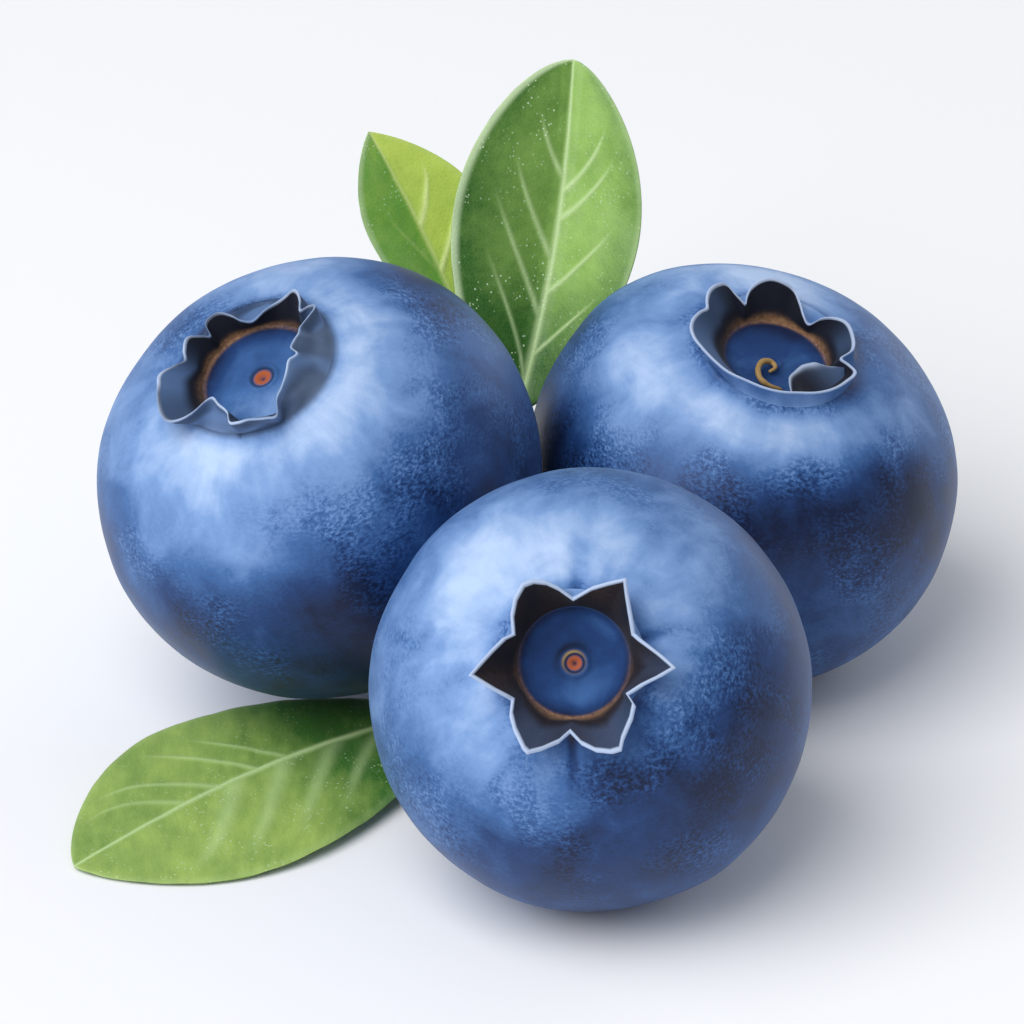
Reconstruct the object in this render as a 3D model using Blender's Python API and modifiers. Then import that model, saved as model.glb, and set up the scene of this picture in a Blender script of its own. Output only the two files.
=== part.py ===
"""Blueberry sprig lying on a surface: three berries, three leaves and a short woody twig.

Lengths are in millimetres in the tables and are turned to metres when the shapes are made.
The sprig lies on z = 0. +X runs from the left berry to the right one, and +Y runs
from the front berry towards the cut end of the twig.
"""

import math
from dataclasses import dataclass

import bmesh
import bpy
from mathutils import Matrix, Vector
from mathutils.geometry import interpolate_bezier

MM = 0.001
GAP = 0.3  # clearance between pieces that touch
WELD = 1e-6  # metres: vertices closer than this are one

# ---- berries ---------------------------------------------------------------
BERRY_STEPS = 42  # segments round a berry
BODY_RINGS = 14  # rings from the crown's foot to the stem dimple
WALL = 0.3  # thickness of the crown's wall
CUP_DEPTH = 0.75  # the disc lies this far below the crown's foot
# Section of the disc, as (share of its radius, height over its lowest ring).
DISC_SECTION = [(0.0, 0.05), (0.2, 0.0), (0.62, 0.02), (1.0, 0.22), (1.05, 0.45)]
DIMPLE_RADIUS = 0.85
DIMPLE_DEPTH = 0.35
DIMPLE_SECTION = [(0.55, 0.8), (0.0, 1.0)]  # (share of its radius, share of its depth)
REST_FLAT = 0.04  # height lost where a berry's weight flattens its skin

# ---- leaves ----------------------------------------------------------------
BLADE_COLUMNS = 8
BLADE_ROWS = 16
STALK_ROWS = 5
STALK_HALF_WIDTH = 0.35
LEAF_THICK = 0.6  # at the leaf stalk and the foot of the midrib
BLADE_THIN = 0.55  # blade thickness as a share of LEAF_THICK
RIB_SHARE = 1 / 3  # the midrib thins out over this share of the half width
STALK_HANDLE = 0.4  # share of the stalk's length that leads straight off at each end

# ---- woody twig ------------------------------------------------------------
STALK_SIDES = 3  # bevel resolution, which gives ten sides
BUD_SIDES = 10
BUD_RINGS = 6


@dataclass
class Berry:
    """One fruit: an oblate body with the calyx crown round the disc at its top."""

    place: tuple  # of the body's centre over the surface, in x and y
    radius: float  # at the equator
    polar: float  # height over width
    fullness: float  # exponent of the side's curve: 2 is an ellipse
    axis: tuple  # from the stem end to the crown
    lift: float  # height of the lowest point of the skin
    disc: float  # radius of the disc in the crown
    foot: float  # radius of the crown's foot on the skin
    press_to: tuple  # towards the neighbour that it grew against
    press: float  # share of the radius lost on that side
    rim: list  # (angle, radius, height) round the crown's edge, heights from its foot
    scar_shift: float = 0.0  # degrees that the stem dimple lies off the axis
    shift_to: tuple = (0, 1, 0)  # towards which it lies off


@dataclass
class Pedicel:
    """One berry stalk, from the berry's stem dimple to the twig."""

    berry: str
    reach: float  # length of the straight start out of the dimple
    handle: tuple  # where it heads from before it meets the twig
    end: tuple  # on the twig


@dataclass
class Leaf:
    """One leaf: a blade folded along its midrib, on a short stalk."""

    joint: tuple  # foot of the leaf stalk
    base: tuple  # foot of the blade
    tip: tuple
    face: tuple  # towards which the upper face looks
    half_width: float
    fold: float  # angle in radians that each half rises from flat
    arch: float  # rise of the midrib at mid-length
    bow: float  # sideways bow of the midrib, as a share of its length
    uneven: float  # extra width of one half over the other
    tip_power: float  # where the blade is widest
    edge_power: float  # how blunt its ends are


FRONT_RIM = [
    (0, 3.6, 1.2), (27, 2.45, 0.5), (59, 3.64, 1.2), (91, 2.3, 0.45), (123, 3.41, 1.2), (154, 2.52, 0.5),
    (187, 3.77, 1.2), (210, 2.6, 0.5), (243, 3.58, 1.2), (269, 2.3, 0.45), (296, 3.49, 1.2), (335, 2.2, 0.45),
]
LEFT_RIM = [
    (8, 3.4, 0.9), (24, 2.75, 0.6), (42, 3.25, 0.75), (55, 3.0, 0.3), (64, 3.3, 1.1), (104, 2.95, 0.15),
    (121, 3.2, 0.8), (136, 3.0, 0.3), (146, 3.25, 1.0), (160, 3.15, 0.6), (170, 3.5, 0.9), (182, 3.2, 0.7),
    (198, 3.4, 1.1), (215, 3.1, 0.6), (242, 2.95, 1.4), (262, 2.8, 0.8), (282, 2.9, 0.85), (304, 2.6, 1.1),
    (325, 3.1, 1.3), (345, 2.75, 1.0),
]
RIGHT_RIM = [
    (0, 3.2, 0.8), (13, 3.0, 0.35), (34, 3.2, 0.8), (61, 2.95, 0.2), (90, 3.3, 1.25), (115, 3.0, 0.3),
    (147, 3.35, 1.7), (168, 3.1, 0.8), (190, 3.1, 0.7), (225, 3.05, 1.0), (276, 3.0, 1.1), (320, 3.05, 1.1),
]

BERRIES = {
    "berry_front": Berry((2.54, -12.77), 8.22, 0.9, 2.05, (-0.107, -0.779, 0.618), 0.0, 2.05, 2.6,
                         (0, 1, 0), 0.0, FRONT_RIM),
    "berry_left": Berry((-7.76, 0.83), 8.88, 0.87, 2.08, (-0.325, -0.395, 0.859), 1.65, 2.35, 3.15,
                        (0.965, 0.22, -0.11), 0.03, LEFT_RIM),
    "berry_right": Berry((8.49, 4.9), 8.93, 0.84, 2.1, (0.221, -0.31, 0.925), 0.0, 2.1, 3.05,
                         (-0.965, -0.22, 0.11), 0.085, RIGHT_RIM, 20.0, (-0.6, 0.8, 0)),
}

LEAVES = {
    "leaf_upper_large": Leaf((-0.96, 11.13, 5.7), (-0.26, 11.33, 7.2), (2.05, 18.9, 19.3), (-0.1, -1, 0.45),
                             4.3, 0.5, 0.0, 0.03, -0.05, 0.95, 0.66),
    "leaf_upper_small": Leaf((-1.66, 12.03, 4.9), (-1.2, 12.83, 6.2), (-6.25, 17.6, 17.0), (0.66, -1, 0.45),
                             2.9, 0.3, 0.0, 0.036, 0.0, 0.66, 1.35),
    "leaf_lower": Leaf((-0.26, -0.47, 1.2), (-1.3, -1.15, 1.0), (-16.9, -12.6, 0.35), (0.06, -0.06, 1),
                       5.1, 0.0, 0.35, 0.04, -0.1, 0.73, 1.0),
}

PEDICELS = {
    "pedicel_front": Pedicel("berry_front", 1.8, (2.14, -4.37, 1.3), (1.39, -3.07, 1.35)),
    "pedicel_left": Pedicel("berry_left", 1.7, (-3.36, 5.13, 0.75), (-1.46, 4.83, 1.05)),
    "pedicel_right": Pedicel("berry_right", 1.3, (2.44, 10.43, 0.8), (0.39, 8.93, 1.1)),
}
PEDICEL_POINTS = 12
PEDICEL_FOOT = 0.75  # radius at the berry
PEDICEL_END = 0.6  # radius at the twig
PEDICEL_WAIST = 0.8  # radius at mid-length as a share of the ends

# Bezier points of the main stem and the leafy side shoot, with their radii at both ends.
MAIN_STEM = ((1.04, -2.37, 1.2), (0.74, 4.53, 0.9), (-1.86, 11.53, 0.85), (-4.56, 21.03, 1.0), 0.7, 1.0)
SIDE_SHOOT = ((-1.06, 9.33, 0.9), (-1.46, 10.53, 1.9), (-1.46, 11.13, 3.2), (-1.31, 11.23, 5.0), 0.7, 0.55)
STEM_POINTS = 16
# Each bud: foot on the stem, tip, and radius.
BUDS = [
    ((-0.96, 12.13, 1.4), (-0.46, 11.43, 3.2), 0.62),
    ((-3.66, 15.73, 1.3), (-4.56, 14.93, 2.7), 0.6),
]


def smooth_step(value):
    """Ease from 0 to 1 as value runs from 0 to 1."""
    t = min(max(value, 0.0), 1.0)
    return t * t * (3.0 - 2.0 * t)


def new_object(name, mesh, collection, material=None):
    """Link an object for a mesh, shaded smooth, with its material."""
    mesh.shade_smooth()
    obj = bpy.data.objects.new(name, mesh)
    collection.objects.link(obj)
    if material:
        mesh.materials.clear()
        mesh.materials.append(material)
    return obj


def make_material(name, colour, roughness):
    """A plain Principled material."""
    material = bpy.data.materials.new(name)
    material.use_nodes = True
    shader = material.node_tree.nodes["Principled BSDF"]
    shader.inputs["Base Color"].default_value = (*colour, 1.0)
    shader.inputs["Roughness"].default_value = roughness
    shader.inputs["Metallic"].default_value = 0.0
    material.diffuse_color = (*colour, 1.0)
    return material


def applied_mesh(obj):
    """The object's evaluated mesh as data of its own, with its caps and seams welded."""
    graph = bpy.context.evaluated_depsgraph_get()
    mesh = bpy.data.meshes.new_from_object(obj.evaluated_get(graph))
    edit_mesh(mesh, lambda bm: bmesh.ops.remove_doubles(bm, verts=bm.verts, dist=WELD))
    return mesh


def edit_mesh(mesh, change):
    """Run one change on a mesh through bmesh."""
    bm = bmesh.new()
    bm.from_mesh(mesh)
    change(bm)
    bm.to_mesh(mesh)
    bm.free()


# ---- berries ---------------------------------------------------------------
def rim_at(rim, angle):
    """Radius and height of a crown's edge at an angle in degrees, eased between its named points."""
    count = len(rim)
    for index in range(count):
        start, end = rim[index], rim[(index + 1) % count]
        span = (end[0] - start[0]) % 360
        along = (angle - start[0]) % 360
        if along <= span:
            share = smooth_step(along / span)
            return (start[1] + (end[1] - start[1]) * share, start[2] + (end[2] - start[2]) * share)
    return rim[0][1], rim[0][2]


def skin_height(berry, radius):
    """Height of the body's skin above its centre, at a distance from the axis."""
    share = (radius / berry.radius) ** berry.fullness
    return berry.polar * berry.radius * (1.0 - share) ** (1.0 / berry.fullness)


def berry_profile(berry):
    """Half section of a berry, from the middle of the disc over the crown to the stem dimple."""
    foot_height = skin_height(berry, berry.foot)
    disc_height = foot_height - CUP_DEPTH
    inner = berry.foot - WALL
    points = [(berry.disc * share, disc_height + height) for share, height in DISC_SECTION]
    points += [(inner, foot_height + share) for share in (0.0, 0.5, 1.0)]
    points += [(berry.foot, foot_height + share) for share in (1.0, 0.5, 0.0)]
    power = 2.0 / berry.fullness
    start = math.asin((berry.foot / berry.radius) ** (1.0 / power))
    end = math.pi - math.asin((DIMPLE_RADIUS / berry.radius) ** (1.0 / power))
    for ring in range(1, BODY_RINGS + 1):
        angle = start + (end - start) * ring / BODY_RINGS
        height = math.copysign(abs(math.cos(angle)) ** power, math.cos(angle))
        points.append((berry.radius * math.sin(angle) ** power, berry.polar * berry.radius * height))
    bottom = -berry.polar * berry.radius
    points += [(DIMPLE_RADIUS * share, bottom + DIMPLE_DEPTH * depth) for share, depth in DIMPLE_SECTION]
    return points


def shape_crown(mesh, berry):
    """Bend the plain turned collar into the crown's lobes.

    On the turned collar the height above the foot runs from 0 to 1 mm, and it becomes the share of the lobe.
    """
    foot_height = skin_height(berry, berry.foot)
    middle = berry.foot - WALL / 2
    for vertex in mesh.vertices:
        x, y, z = (value / MM for value in vertex.co)
        share = z - foot_height
        radius = math.hypot(x, y)
        if share < WELD / MM:
            continue
        angle = math.atan2(y, x)
        rim_radius, rim_height = rim_at(berry.rim, math.degrees(angle))
        side = math.copysign(WALL / 2, radius - middle)
        radius += (rim_radius + side - radius) * share
        vertex.co = Vector((radius * math.cos(angle), radius * math.sin(angle),
                            foot_height + rim_height * share)) * MM


def berry_turn(berry):
    """Rotation that takes +Z to the berry's axis and keeps its +X level with the row of berries."""
    up = Vector(berry.axis).normalized()
    across = (Vector((1, 0, 0)) - up * up.x).normalized()
    return Matrix((across, up.cross(across), up)).transposed()


def skin_reach(berry, direction):
    """Distance from the body's centre to its plain skin along a direction in the berry's own frame."""
    across = math.hypot(direction.x, direction.y) / berry.radius
    along = abs(direction.z) / (berry.polar * berry.radius)
    return direction.length * (across ** berry.fullness + along ** berry.fullness) ** (-1.0 / berry.fullness)


def scar_turn(berry, turn, share):
    """Rotation about the body's centre that carries the stem dimple off the axis, in the berry's own frame."""
    towards = turn.transposed() @ Vector(berry.shift_to).normalized()
    hinge = Vector((0, 0, -1)).cross(towards).normalized()
    return Matrix.Rotation(math.radians(berry.scar_shift) * share, 3, hinge)


def shift_scar(mesh, berry, turn):
    """Swing the lower part of the skin so that the stem dimple lies to one side."""
    depth = berry.polar * berry.radius * MM
    for vertex in mesh.vertices:
        if vertex.co.z < 0:
            swung = scar_turn(berry, turn, smooth_step(-vertex.co.z / depth)) @ vertex.co
            vertex.co = swung * (skin_reach(berry, swung) / skin_reach(berry, vertex.co))


def press_side(mesh, berry, turn):
    """Flatten the side that grew against a neighbour."""
    towards = turn.transposed() @ Vector(berry.press_to).normalized()
    for vertex in mesh.vertices:
        reach = vertex.co.dot(towards)
        if reach > 0:
            vertex.co -= towards * reach * berry.press * smooth_step(reach / (berry.radius * MM))


def settle(mesh, turn):
    """Cut the small resting flat and return the height of the body's centre over it."""
    down = turn.transposed() @ Vector((0, 0, -1))
    lowest = max(vertex.co.dot(down) for vertex in mesh.vertices)
    level = lowest - REST_FLAT * MM

    def cut(bm):
        geometry = bm.verts[:] + bm.edges[:] + bm.faces[:]
        bmesh.ops.bisect_plane(bm, geom=geometry, plane_co=down * level, plane_no=down, clear_outer=True)
        bmesh.ops.holes_fill(bm, edges=[edge for edge in bm.edges if edge.is_boundary], sides=0)

    edit_mesh(mesh, cut)
    return level / MM


def make_berry(name, berry, collection, material, frame):
    """Turn the berry's section about its axis, shape it, lay it at its height and return its centre."""
    points = berry_profile(berry)
    section = bpy.data.meshes.new(name + "_section")
    section.from_pydata([(r * MM, 0, z * MM) for r, z in points],
                        [(i, i + 1) for i in range(len(points) - 1)], [])
    turned = new_object(name + "_turned", section, collection)
    screw = turned.modifiers.new("turn", "SCREW")
    screw.steps = BERRY_STEPS
    screw.render_steps = BERRY_STEPS
    screw.use_merge_vertices = True
    screw.merge_threshold = WELD
    mesh = applied_mesh(turned)
    bpy.data.objects.remove(turned)
    bpy.data.meshes.remove(section)

    turn = berry_turn(berry)
    shape_crown(mesh, berry)
    shift_scar(mesh, berry, turn)
    press_side(mesh, berry, turn)
    height = settle(mesh, turn)
    centre = Vector((*berry.place, berry.lift + height))
    berry_object = new_object(name, mesh, collection, material)
    berry_object.parent = frame
    berry_object.matrix_local = Matrix.Translation(centre * MM) @ turn.to_4x4()
    return centre


# ---- leaves ----------------------------------------------------------------
def blade_half_width(leaf, along):
    """Half width of the blade at a share of its length from the foot."""
    share = (1.0 - along) ** leaf.tip_power
    return leaf.half_width * max(math.sin(math.pi * share), 0.0) ** leaf.edge_power


def leaf_point(leaf, along, across):
    """Point of the leaf's middle sheet; along < 0 is the stalk, across runs from -1 to 1."""
    base, tip = Vector(leaf.base), Vector(leaf.tip)
    length = (tip - base).length
    forward = (tip - base).normalized()
    face = Vector(leaf.face)
    normal = (face - forward * face.dot(forward)).normalized()
    side = forward.cross(normal)
    if along < 0:
        joint = Vector(leaf.joint)
        reach = (base - joint).length
        # the stalk leaves the twig straight and meets the blade in the blade's own direction
        path = interpolate_bezier(joint, joint + (base - joint) * STALK_HANDLE,
                                  base - forward * reach * STALK_HANDLE, base, STALK_ROWS + 1)
        step = round((1.0 + along) * STALK_ROWS)
        return path[step] + side * STALK_HALF_WIDTH * across
    width = max(blade_half_width(leaf, along), STALK_HALF_WIDTH * (1.0 - along))
    width *= 1.0 + leaf.uneven * across
    hump = math.sin(math.pi * along)
    sideways = across * width * math.cos(leaf.fold) + leaf.bow * length * hump
    rise = abs(across) * width * math.sin(leaf.fold) + leaf.arch * hump
    return base + forward * length * along + side * sideways + normal * rise


def make_leaf(name, leaf, collection, material, frame):
    """Shape a flat grid into the leaf's sheet and give it thickness."""
    rows = BLADE_ROWS + STALK_ROWS
    bm = bmesh.new()
    bmesh.ops.create_grid(bm, x_segments=BLADE_COLUMNS, y_segments=rows, size=0.5)
    mesh = bpy.data.meshes.new(name)
    shares = []
    for vertex in bm.verts:
        across = vertex.co.x * 2.0
        row = round((vertex.co.y + 0.5) * rows)
        along = (row - STALK_ROWS) / (STALK_ROWS if row < STALK_ROWS else BLADE_ROWS)
        vertex.co = leaf_point(leaf, along, across) * MM
        rib = max(0.0, 1.0 - abs(across) / RIB_SHARE) * (1.0 - max(along, 0.0))
        shares.append(1.0 if along <= 0 else BLADE_THIN + (1.0 - BLADE_THIN) * rib)
    # the last row meets in the leaf's tip
    bmesh.ops.remove_doubles(bm, verts=bm.verts, dist=WELD)
    bm.to_mesh(mesh)
    bm.free()
    leaf_object = new_object(name, mesh, collection, material)
    group = leaf_object.vertex_groups.new(name="thickness")
    for index in range(len(mesh.vertices)):
        group.add([index], shares[index], "REPLACE")
    solid = leaf_object.modifiers.new("thickness", "SOLIDIFY")
    solid.thickness = LEAF_THICK * MM
    solid.offset = 0.0
    solid.vertex_group = "thickness"
    leaf_object.parent = frame


# ---- stalks and twig -------------------------------------------------------
def stalk_curve(name, route, count, waist, collection):
    """A round stalk along a Bezier route, narrower in the middle."""
    points = interpolate_bezier(*(Vector(point) for point in route[:4]), count)
    curve = bpy.data.curves.new(name, "CURVE")
    curve.dimensions = "3D"
    curve.bevel_depth = MM  # each point's radius is then in millimetres
    curve.bevel_resolution = STALK_SIDES
    curve.use_fill_caps = True
    spline = curve.splines.new("POLY")
    spline.points.add(count - 1)
    for index, point in enumerate(points):
        share = index / (count - 1)
        spline.points[index].co = (*(point * MM), 1.0)
        ends = route[4] + (route[5] - route[4]) * share
        spline.points[index].radius = ends * (1.0 - (1.0 - waist) * math.sin(math.pi * share))
    stalk = bpy.data.objects.new(name, curve)
    collection.objects.link(stalk)
    return stalk


def stalk_mesh(name, route, count, waist, collection):
    """The stalk as a closed mesh."""
    stalk = stalk_curve(name + "_route", route, count, waist, collection)
    mesh = applied_mesh(stalk)
    bpy.data.objects.remove(stalk)
    return mesh


def pedicel_route(pedicel, centre):
    """Bezier points of a berry stalk that leaves the berry square to its stem dimple, and its end radii."""
    berry = BERRIES[pedicel.berry]
    turn = berry_turn(berry)
    stem_end = scar_turn(berry, turn, 1.0) @ Vector((0, 0, -1))
    outward = turn @ stem_end
    foot = centre + outward * (skin_reach(berry, stem_end) - DIMPLE_DEPTH + GAP)
    return (foot, foot + outward * pedicel.reach, pedicel.handle, pedicel.end, PEDICEL_FOOT, PEDICEL_END)


def bud_mesh(foot, tip, radius):
    """A pointed bud: a ball drawn out to its tip."""
    foot, tip = Vector(foot) * MM, Vector(tip) * MM
    mesh = bpy.data.meshes.new("bud")
    bm = bmesh.new()
    bmesh.ops.create_uvsphere(bm, u_segments=BUD_SIDES, v_segments=BUD_RINGS, radius=radius * MM)
    reach = (tip - foot).length
    for vertex in bm.verts:
        if vertex.co.z > 0:
            vertex.co.z *= reach / (radius * MM)
    turn = (tip - foot).to_track_quat("Z", "Y").to_matrix().to_4x4()
    bmesh.ops.transform(bm, matrix=Matrix.Translation(foot) @ turn, verts=bm.verts)
    bm.to_mesh(mesh)
    bm.free()
    return mesh


def make_twig(collection, tools, material, frame):
    """The woody stem with its side shoot and buds grown on, as one body."""
    stem = new_object("twig", stalk_mesh("twig", MAIN_STEM, STEM_POINTS, 1.0, tools), collection, material)
    additions = [stalk_mesh("side_shoot", SIDE_SHOOT, PEDICEL_POINTS, 1.0, tools)]
    additions += [bud_mesh(*bud) for bud in BUDS]
    for index, mesh in enumerate(additions):
        part = new_object(f"twig_addition_{index + 1}", mesh, tools)
        part.hide_render = True
        part.display_type = "WIRE"
        part.parent = frame
        join = stem.modifiers.new(f"join_{index + 1}", "BOOLEAN")
        join.operation = "UNION"
        join.solver = "EXACT"
        join.object = part
    stem.parent = frame


def stand_on_origin(frame, objects):
    """Move the whole sprig so that the middle of its underside is the origin."""
    bpy.context.view_layer.update()
    graph = bpy.context.evaluated_depsgraph_get()
    corners = []
    for obj in objects:
        solid = obj.evaluated_get(graph)
        corners += [solid.matrix_world @ vertex.co for vertex in solid.data.vertices]
    low = [min(corner[axis] for corner in corners) for axis in range(3)]
    high = [max(corner[axis] for corner in corners) for axis in range(3)]
    frame.location = (-(low[0] + high[0]) / 2, -(low[1] + high[1]) / 2, -low[2])
    bpy.context.view_layer.update()


def main():
    """Build the sprig."""
    for obj in list(bpy.data.objects):
        bpy.data.objects.remove(obj)
    collection = bpy.data.collections.new("blueberry_sprig")
    tools = bpy.data.collections.new("tools")
    bpy.context.scene.collection.children.link(collection)
    bpy.context.scene.collection.children.link(tools)
    frame = bpy.data.objects.new("sprig_frame", None)
    collection.objects.link(frame)

    skin = make_material("berry_skin", (0.11, 0.2, 0.42), 0.45)
    green = make_material("leaf_green", (0.16, 0.34, 0.07), 0.45)
    stalk = make_material("stalk_green", (0.36, 0.4, 0.14), 0.55)
    bark = make_material("twig_bark", (0.25, 0.17, 0.1), 0.75)

    centres = {name: make_berry(name, berry, collection, skin, frame) for name, berry in BERRIES.items()}
    for name, leaf in LEAVES.items():
        make_leaf(name, leaf, collection, green, frame)
    for name, pedicel in PEDICELS.items():
        route = pedicel_route(pedicel, centres[pedicel.berry])
        mesh = stalk_mesh(name, route, PEDICEL_POINTS, PEDICEL_WAIST, tools)
        new_object(name, mesh, collection, stalk).parent = frame
    make_twig(collection, tools, bark, frame)
    stand_on_origin(frame, [obj for obj in collection.objects if obj.type == "MESH"])


main()
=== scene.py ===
"""A sprig of three ripe blueberries with three leaves and a short woody twig, lying on a pale table.

Shapes are worked out in millimetres and become metres when a piece is finished. The sprig lies on
z = 0, with +X to the right, +Y away from the front and +Z up.
"""

import logging
import math
from dataclasses import dataclass, field
from enum import Enum
from functools import partial
from typing import Callable

import bmesh
import bpy
from mathutils import Matrix, Vector, noise
from mathutils.geometry import interpolate_bezier


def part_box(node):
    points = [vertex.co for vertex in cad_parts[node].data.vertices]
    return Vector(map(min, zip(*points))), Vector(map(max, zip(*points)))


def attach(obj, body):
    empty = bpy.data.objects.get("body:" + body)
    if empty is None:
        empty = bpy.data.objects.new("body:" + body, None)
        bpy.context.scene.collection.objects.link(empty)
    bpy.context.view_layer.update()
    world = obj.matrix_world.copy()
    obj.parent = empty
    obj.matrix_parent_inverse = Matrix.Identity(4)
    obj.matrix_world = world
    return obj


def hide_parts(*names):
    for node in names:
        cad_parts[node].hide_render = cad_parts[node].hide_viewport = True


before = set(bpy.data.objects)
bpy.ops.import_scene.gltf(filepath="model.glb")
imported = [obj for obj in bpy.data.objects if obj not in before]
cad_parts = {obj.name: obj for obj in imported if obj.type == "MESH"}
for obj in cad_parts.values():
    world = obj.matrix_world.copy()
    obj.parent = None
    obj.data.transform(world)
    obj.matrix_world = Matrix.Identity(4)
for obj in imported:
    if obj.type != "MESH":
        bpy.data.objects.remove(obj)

LOG = logging.getLogger("sprig")
MM = 0.001
BODY = "root"
SEAM = 1e-4  # mm between vertices that are the same one
SWELLS = ((0.22, 0.1), (0.6, 0.03))  # unevenness of a berry: (waves per mm, height in mm)
PATTERN_GAP = 40.0  # mm along each berry's axis, so that no two berries share a pattern

Point = tuple[float, float, float]
Layers = dict[str, Callable[[float, float], float]]

FRONT_ELEVATION = math.radians(28.0)
# Towards the front, rightwards and upwards, as the sprig is mostly seen: from the front and 28 degrees up.
TO_FRONT = Vector((0.0, -math.cos(FRONT_ELEVATION), math.sin(FRONT_ELEVATION)))
RIGHTWARD = Vector((1.0, 0.0, 0.0))
UPWARD = Vector((0.0, math.sin(FRONT_ELEVATION), math.cos(FRONT_ELEVATION)))


# ---- small helpers ---------------------------------------------------------
def linear(hex_colour: str) -> tuple[float, float, float, float]:
    """Turn an sRGB colour into Blender's linear one.

    Args:
        hex_colour: six hex digits, such as "4a7ab5".

    Returns:
        Red, green, blue and a full alpha.
    """
    channels = [int(hex_colour[index:index + 2], 16) / 255 for index in (0, 2, 4)]
    return (*(c / 12.92 if c <= 0.04045 else ((c + 0.055) / 1.055) ** 2.4 for c in channels), 1.0)


def ease(low: float, high: float, value: float) -> float:
    """Rise smoothly from 0 at low to 1 at high.

    Args:
        low: where the rise starts.
        high: where it ends; below low, the value falls instead.
        value: where it is asked for.

    Returns:
        A share from 0 to 1.
    """
    t = min(max((value - low) / (high - low), 0.0), 1.0)
    return t * t * (3.0 - 2.0 * t)


def mix(start: float, end: float, share: float) -> float:
    """The value at a share of the way from start to end."""
    return start + (end - start) * share


def bump_at(value: float, centre: float, width: float) -> float:
    """A smooth hill of height 1 round a centre."""
    return math.exp(-(((value - centre) / width) ** 2))


def ring_noise(angle: float, radius: float, height: float) -> float:
    """Smooth noise on a ring, at an angle in degrees; the wider the ring, the finer it is."""
    turn = math.radians(angle)
    return noise.noise(Vector((math.cos(turn) * radius, math.sin(turn) * radius, height)))


def curve_through(points: list[Vector], share: float) -> Vector:
    """Point of a smooth curve that passes through all the points.

    Args:
        points: in order.
        share: from 0 at the first point to 1 at the last.

    Returns:
        The point at that share.
    """
    last = len(points) - 1
    way = min(max(share, 0.0), 1.0) * last
    index = min(int(way), last - 1)
    before, start, end, after = (points[min(max(index + step, 0), last)] for step in (-1, 0, 1, 2))
    t = way - index
    bend = (2 * before - 5 * start + 4 * end - after) * t ** 2 + (3 * start - before - 3 * end
                                                                  + after) * t ** 3
    return (2 * start + (end - before) * t + bend) / 2


def set_inputs(node: bpy.types.Node, inputs: dict[int | str, object]) -> None:
    """Fill a node's inputs.

    Args:
        node: one of a material's nodes.
        inputs: sockets by name or number, each with a value or with the socket that feeds it.
    """
    for socket, value in inputs.items():
        if isinstance(value, bpy.types.NodeSocket):
            node.id_data.links.new(value, node.inputs[socket])
        else:
            node.inputs[socket].default_value = value


def add_node(tree: bpy.types.NodeTree, kind: str, inputs: dict[int | str, object] | None = None,
             out: int | str = 0, stops: list[tuple[float, str]] | None = None,
             **settings: object) -> bpy.types.NodeSocket:
    """Add a node with its settings and links.

    Args:
        tree: the material's node tree.
        kind: the node's type name without the ShaderNode before it.
        inputs: sockets by name or number, each with a value or with the socket that feeds it.
        out: the output that is wanted.
        stops: places and hex colours of a colour ramp.
        settings: the node's own properties.

    Returns:
        The output socket.
    """
    node = tree.nodes.new(f"ShaderNode{kind}")
    for name, value in settings.items():
        setattr(node, name, value)
    set_inputs(node, inputs or {})
    if stops:
        ramp = node.color_ramp
        while len(ramp.elements) < len(stops):
            ramp.elements.new(0.5)
        for element, (place, colour) in zip(ramp.elements, stops):
            element.position = place
            element.color = linear(colour)
    return node.outputs[out]


def new_material(name: str, roughness: float, ior: float) -> tuple[
        bpy.types.Material, Callable[..., bpy.types.NodeSocket], bpy.types.Node]:
    """Start a material with one Principled shader.

    Args:
        name: the real substance.
        roughness: of the plain surface.
        ior: of the substance.

    Returns:
        The material, the function that adds a node to it, and its shader.
    """
    material = bpy.data.materials.new(name)
    material.use_nodes = True
    shader = material.node_tree.nodes["Principled BSDF"]
    set_inputs(shader, {"Roughness": roughness, "IOR": ior})
    return material, partial(add_node, material.node_tree), shader


def mesh_from(name: str, bm: bmesh.types.BMesh) -> bpy.types.Mesh:
    """Write a mesh from its faces, which are used up."""
    mesh = bpy.data.meshes.new(name)
    bm.to_mesh(mesh)
    bm.free()
    return mesh


def add_object(name: str, data: bpy.types.ID) -> bpy.types.Object:
    """Put an object with its data in the scene."""
    thing = bpy.data.objects.new(name, data)
    bpy.context.scene.collection.objects.link(thing)
    return thing


# ---- finishes --------------------------------------------------------------
# values at each point of a mesh that its material reads
SKIN_LAYERS = ("bloom", "calm", "inner", "blue_inside", "rust", "scar", "straw", "edge")
LEAF_LAYERS = ("sun", "vein", "margin", "under", "dew")
WOOD_LAYERS = ("cut", "pith")


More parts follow.
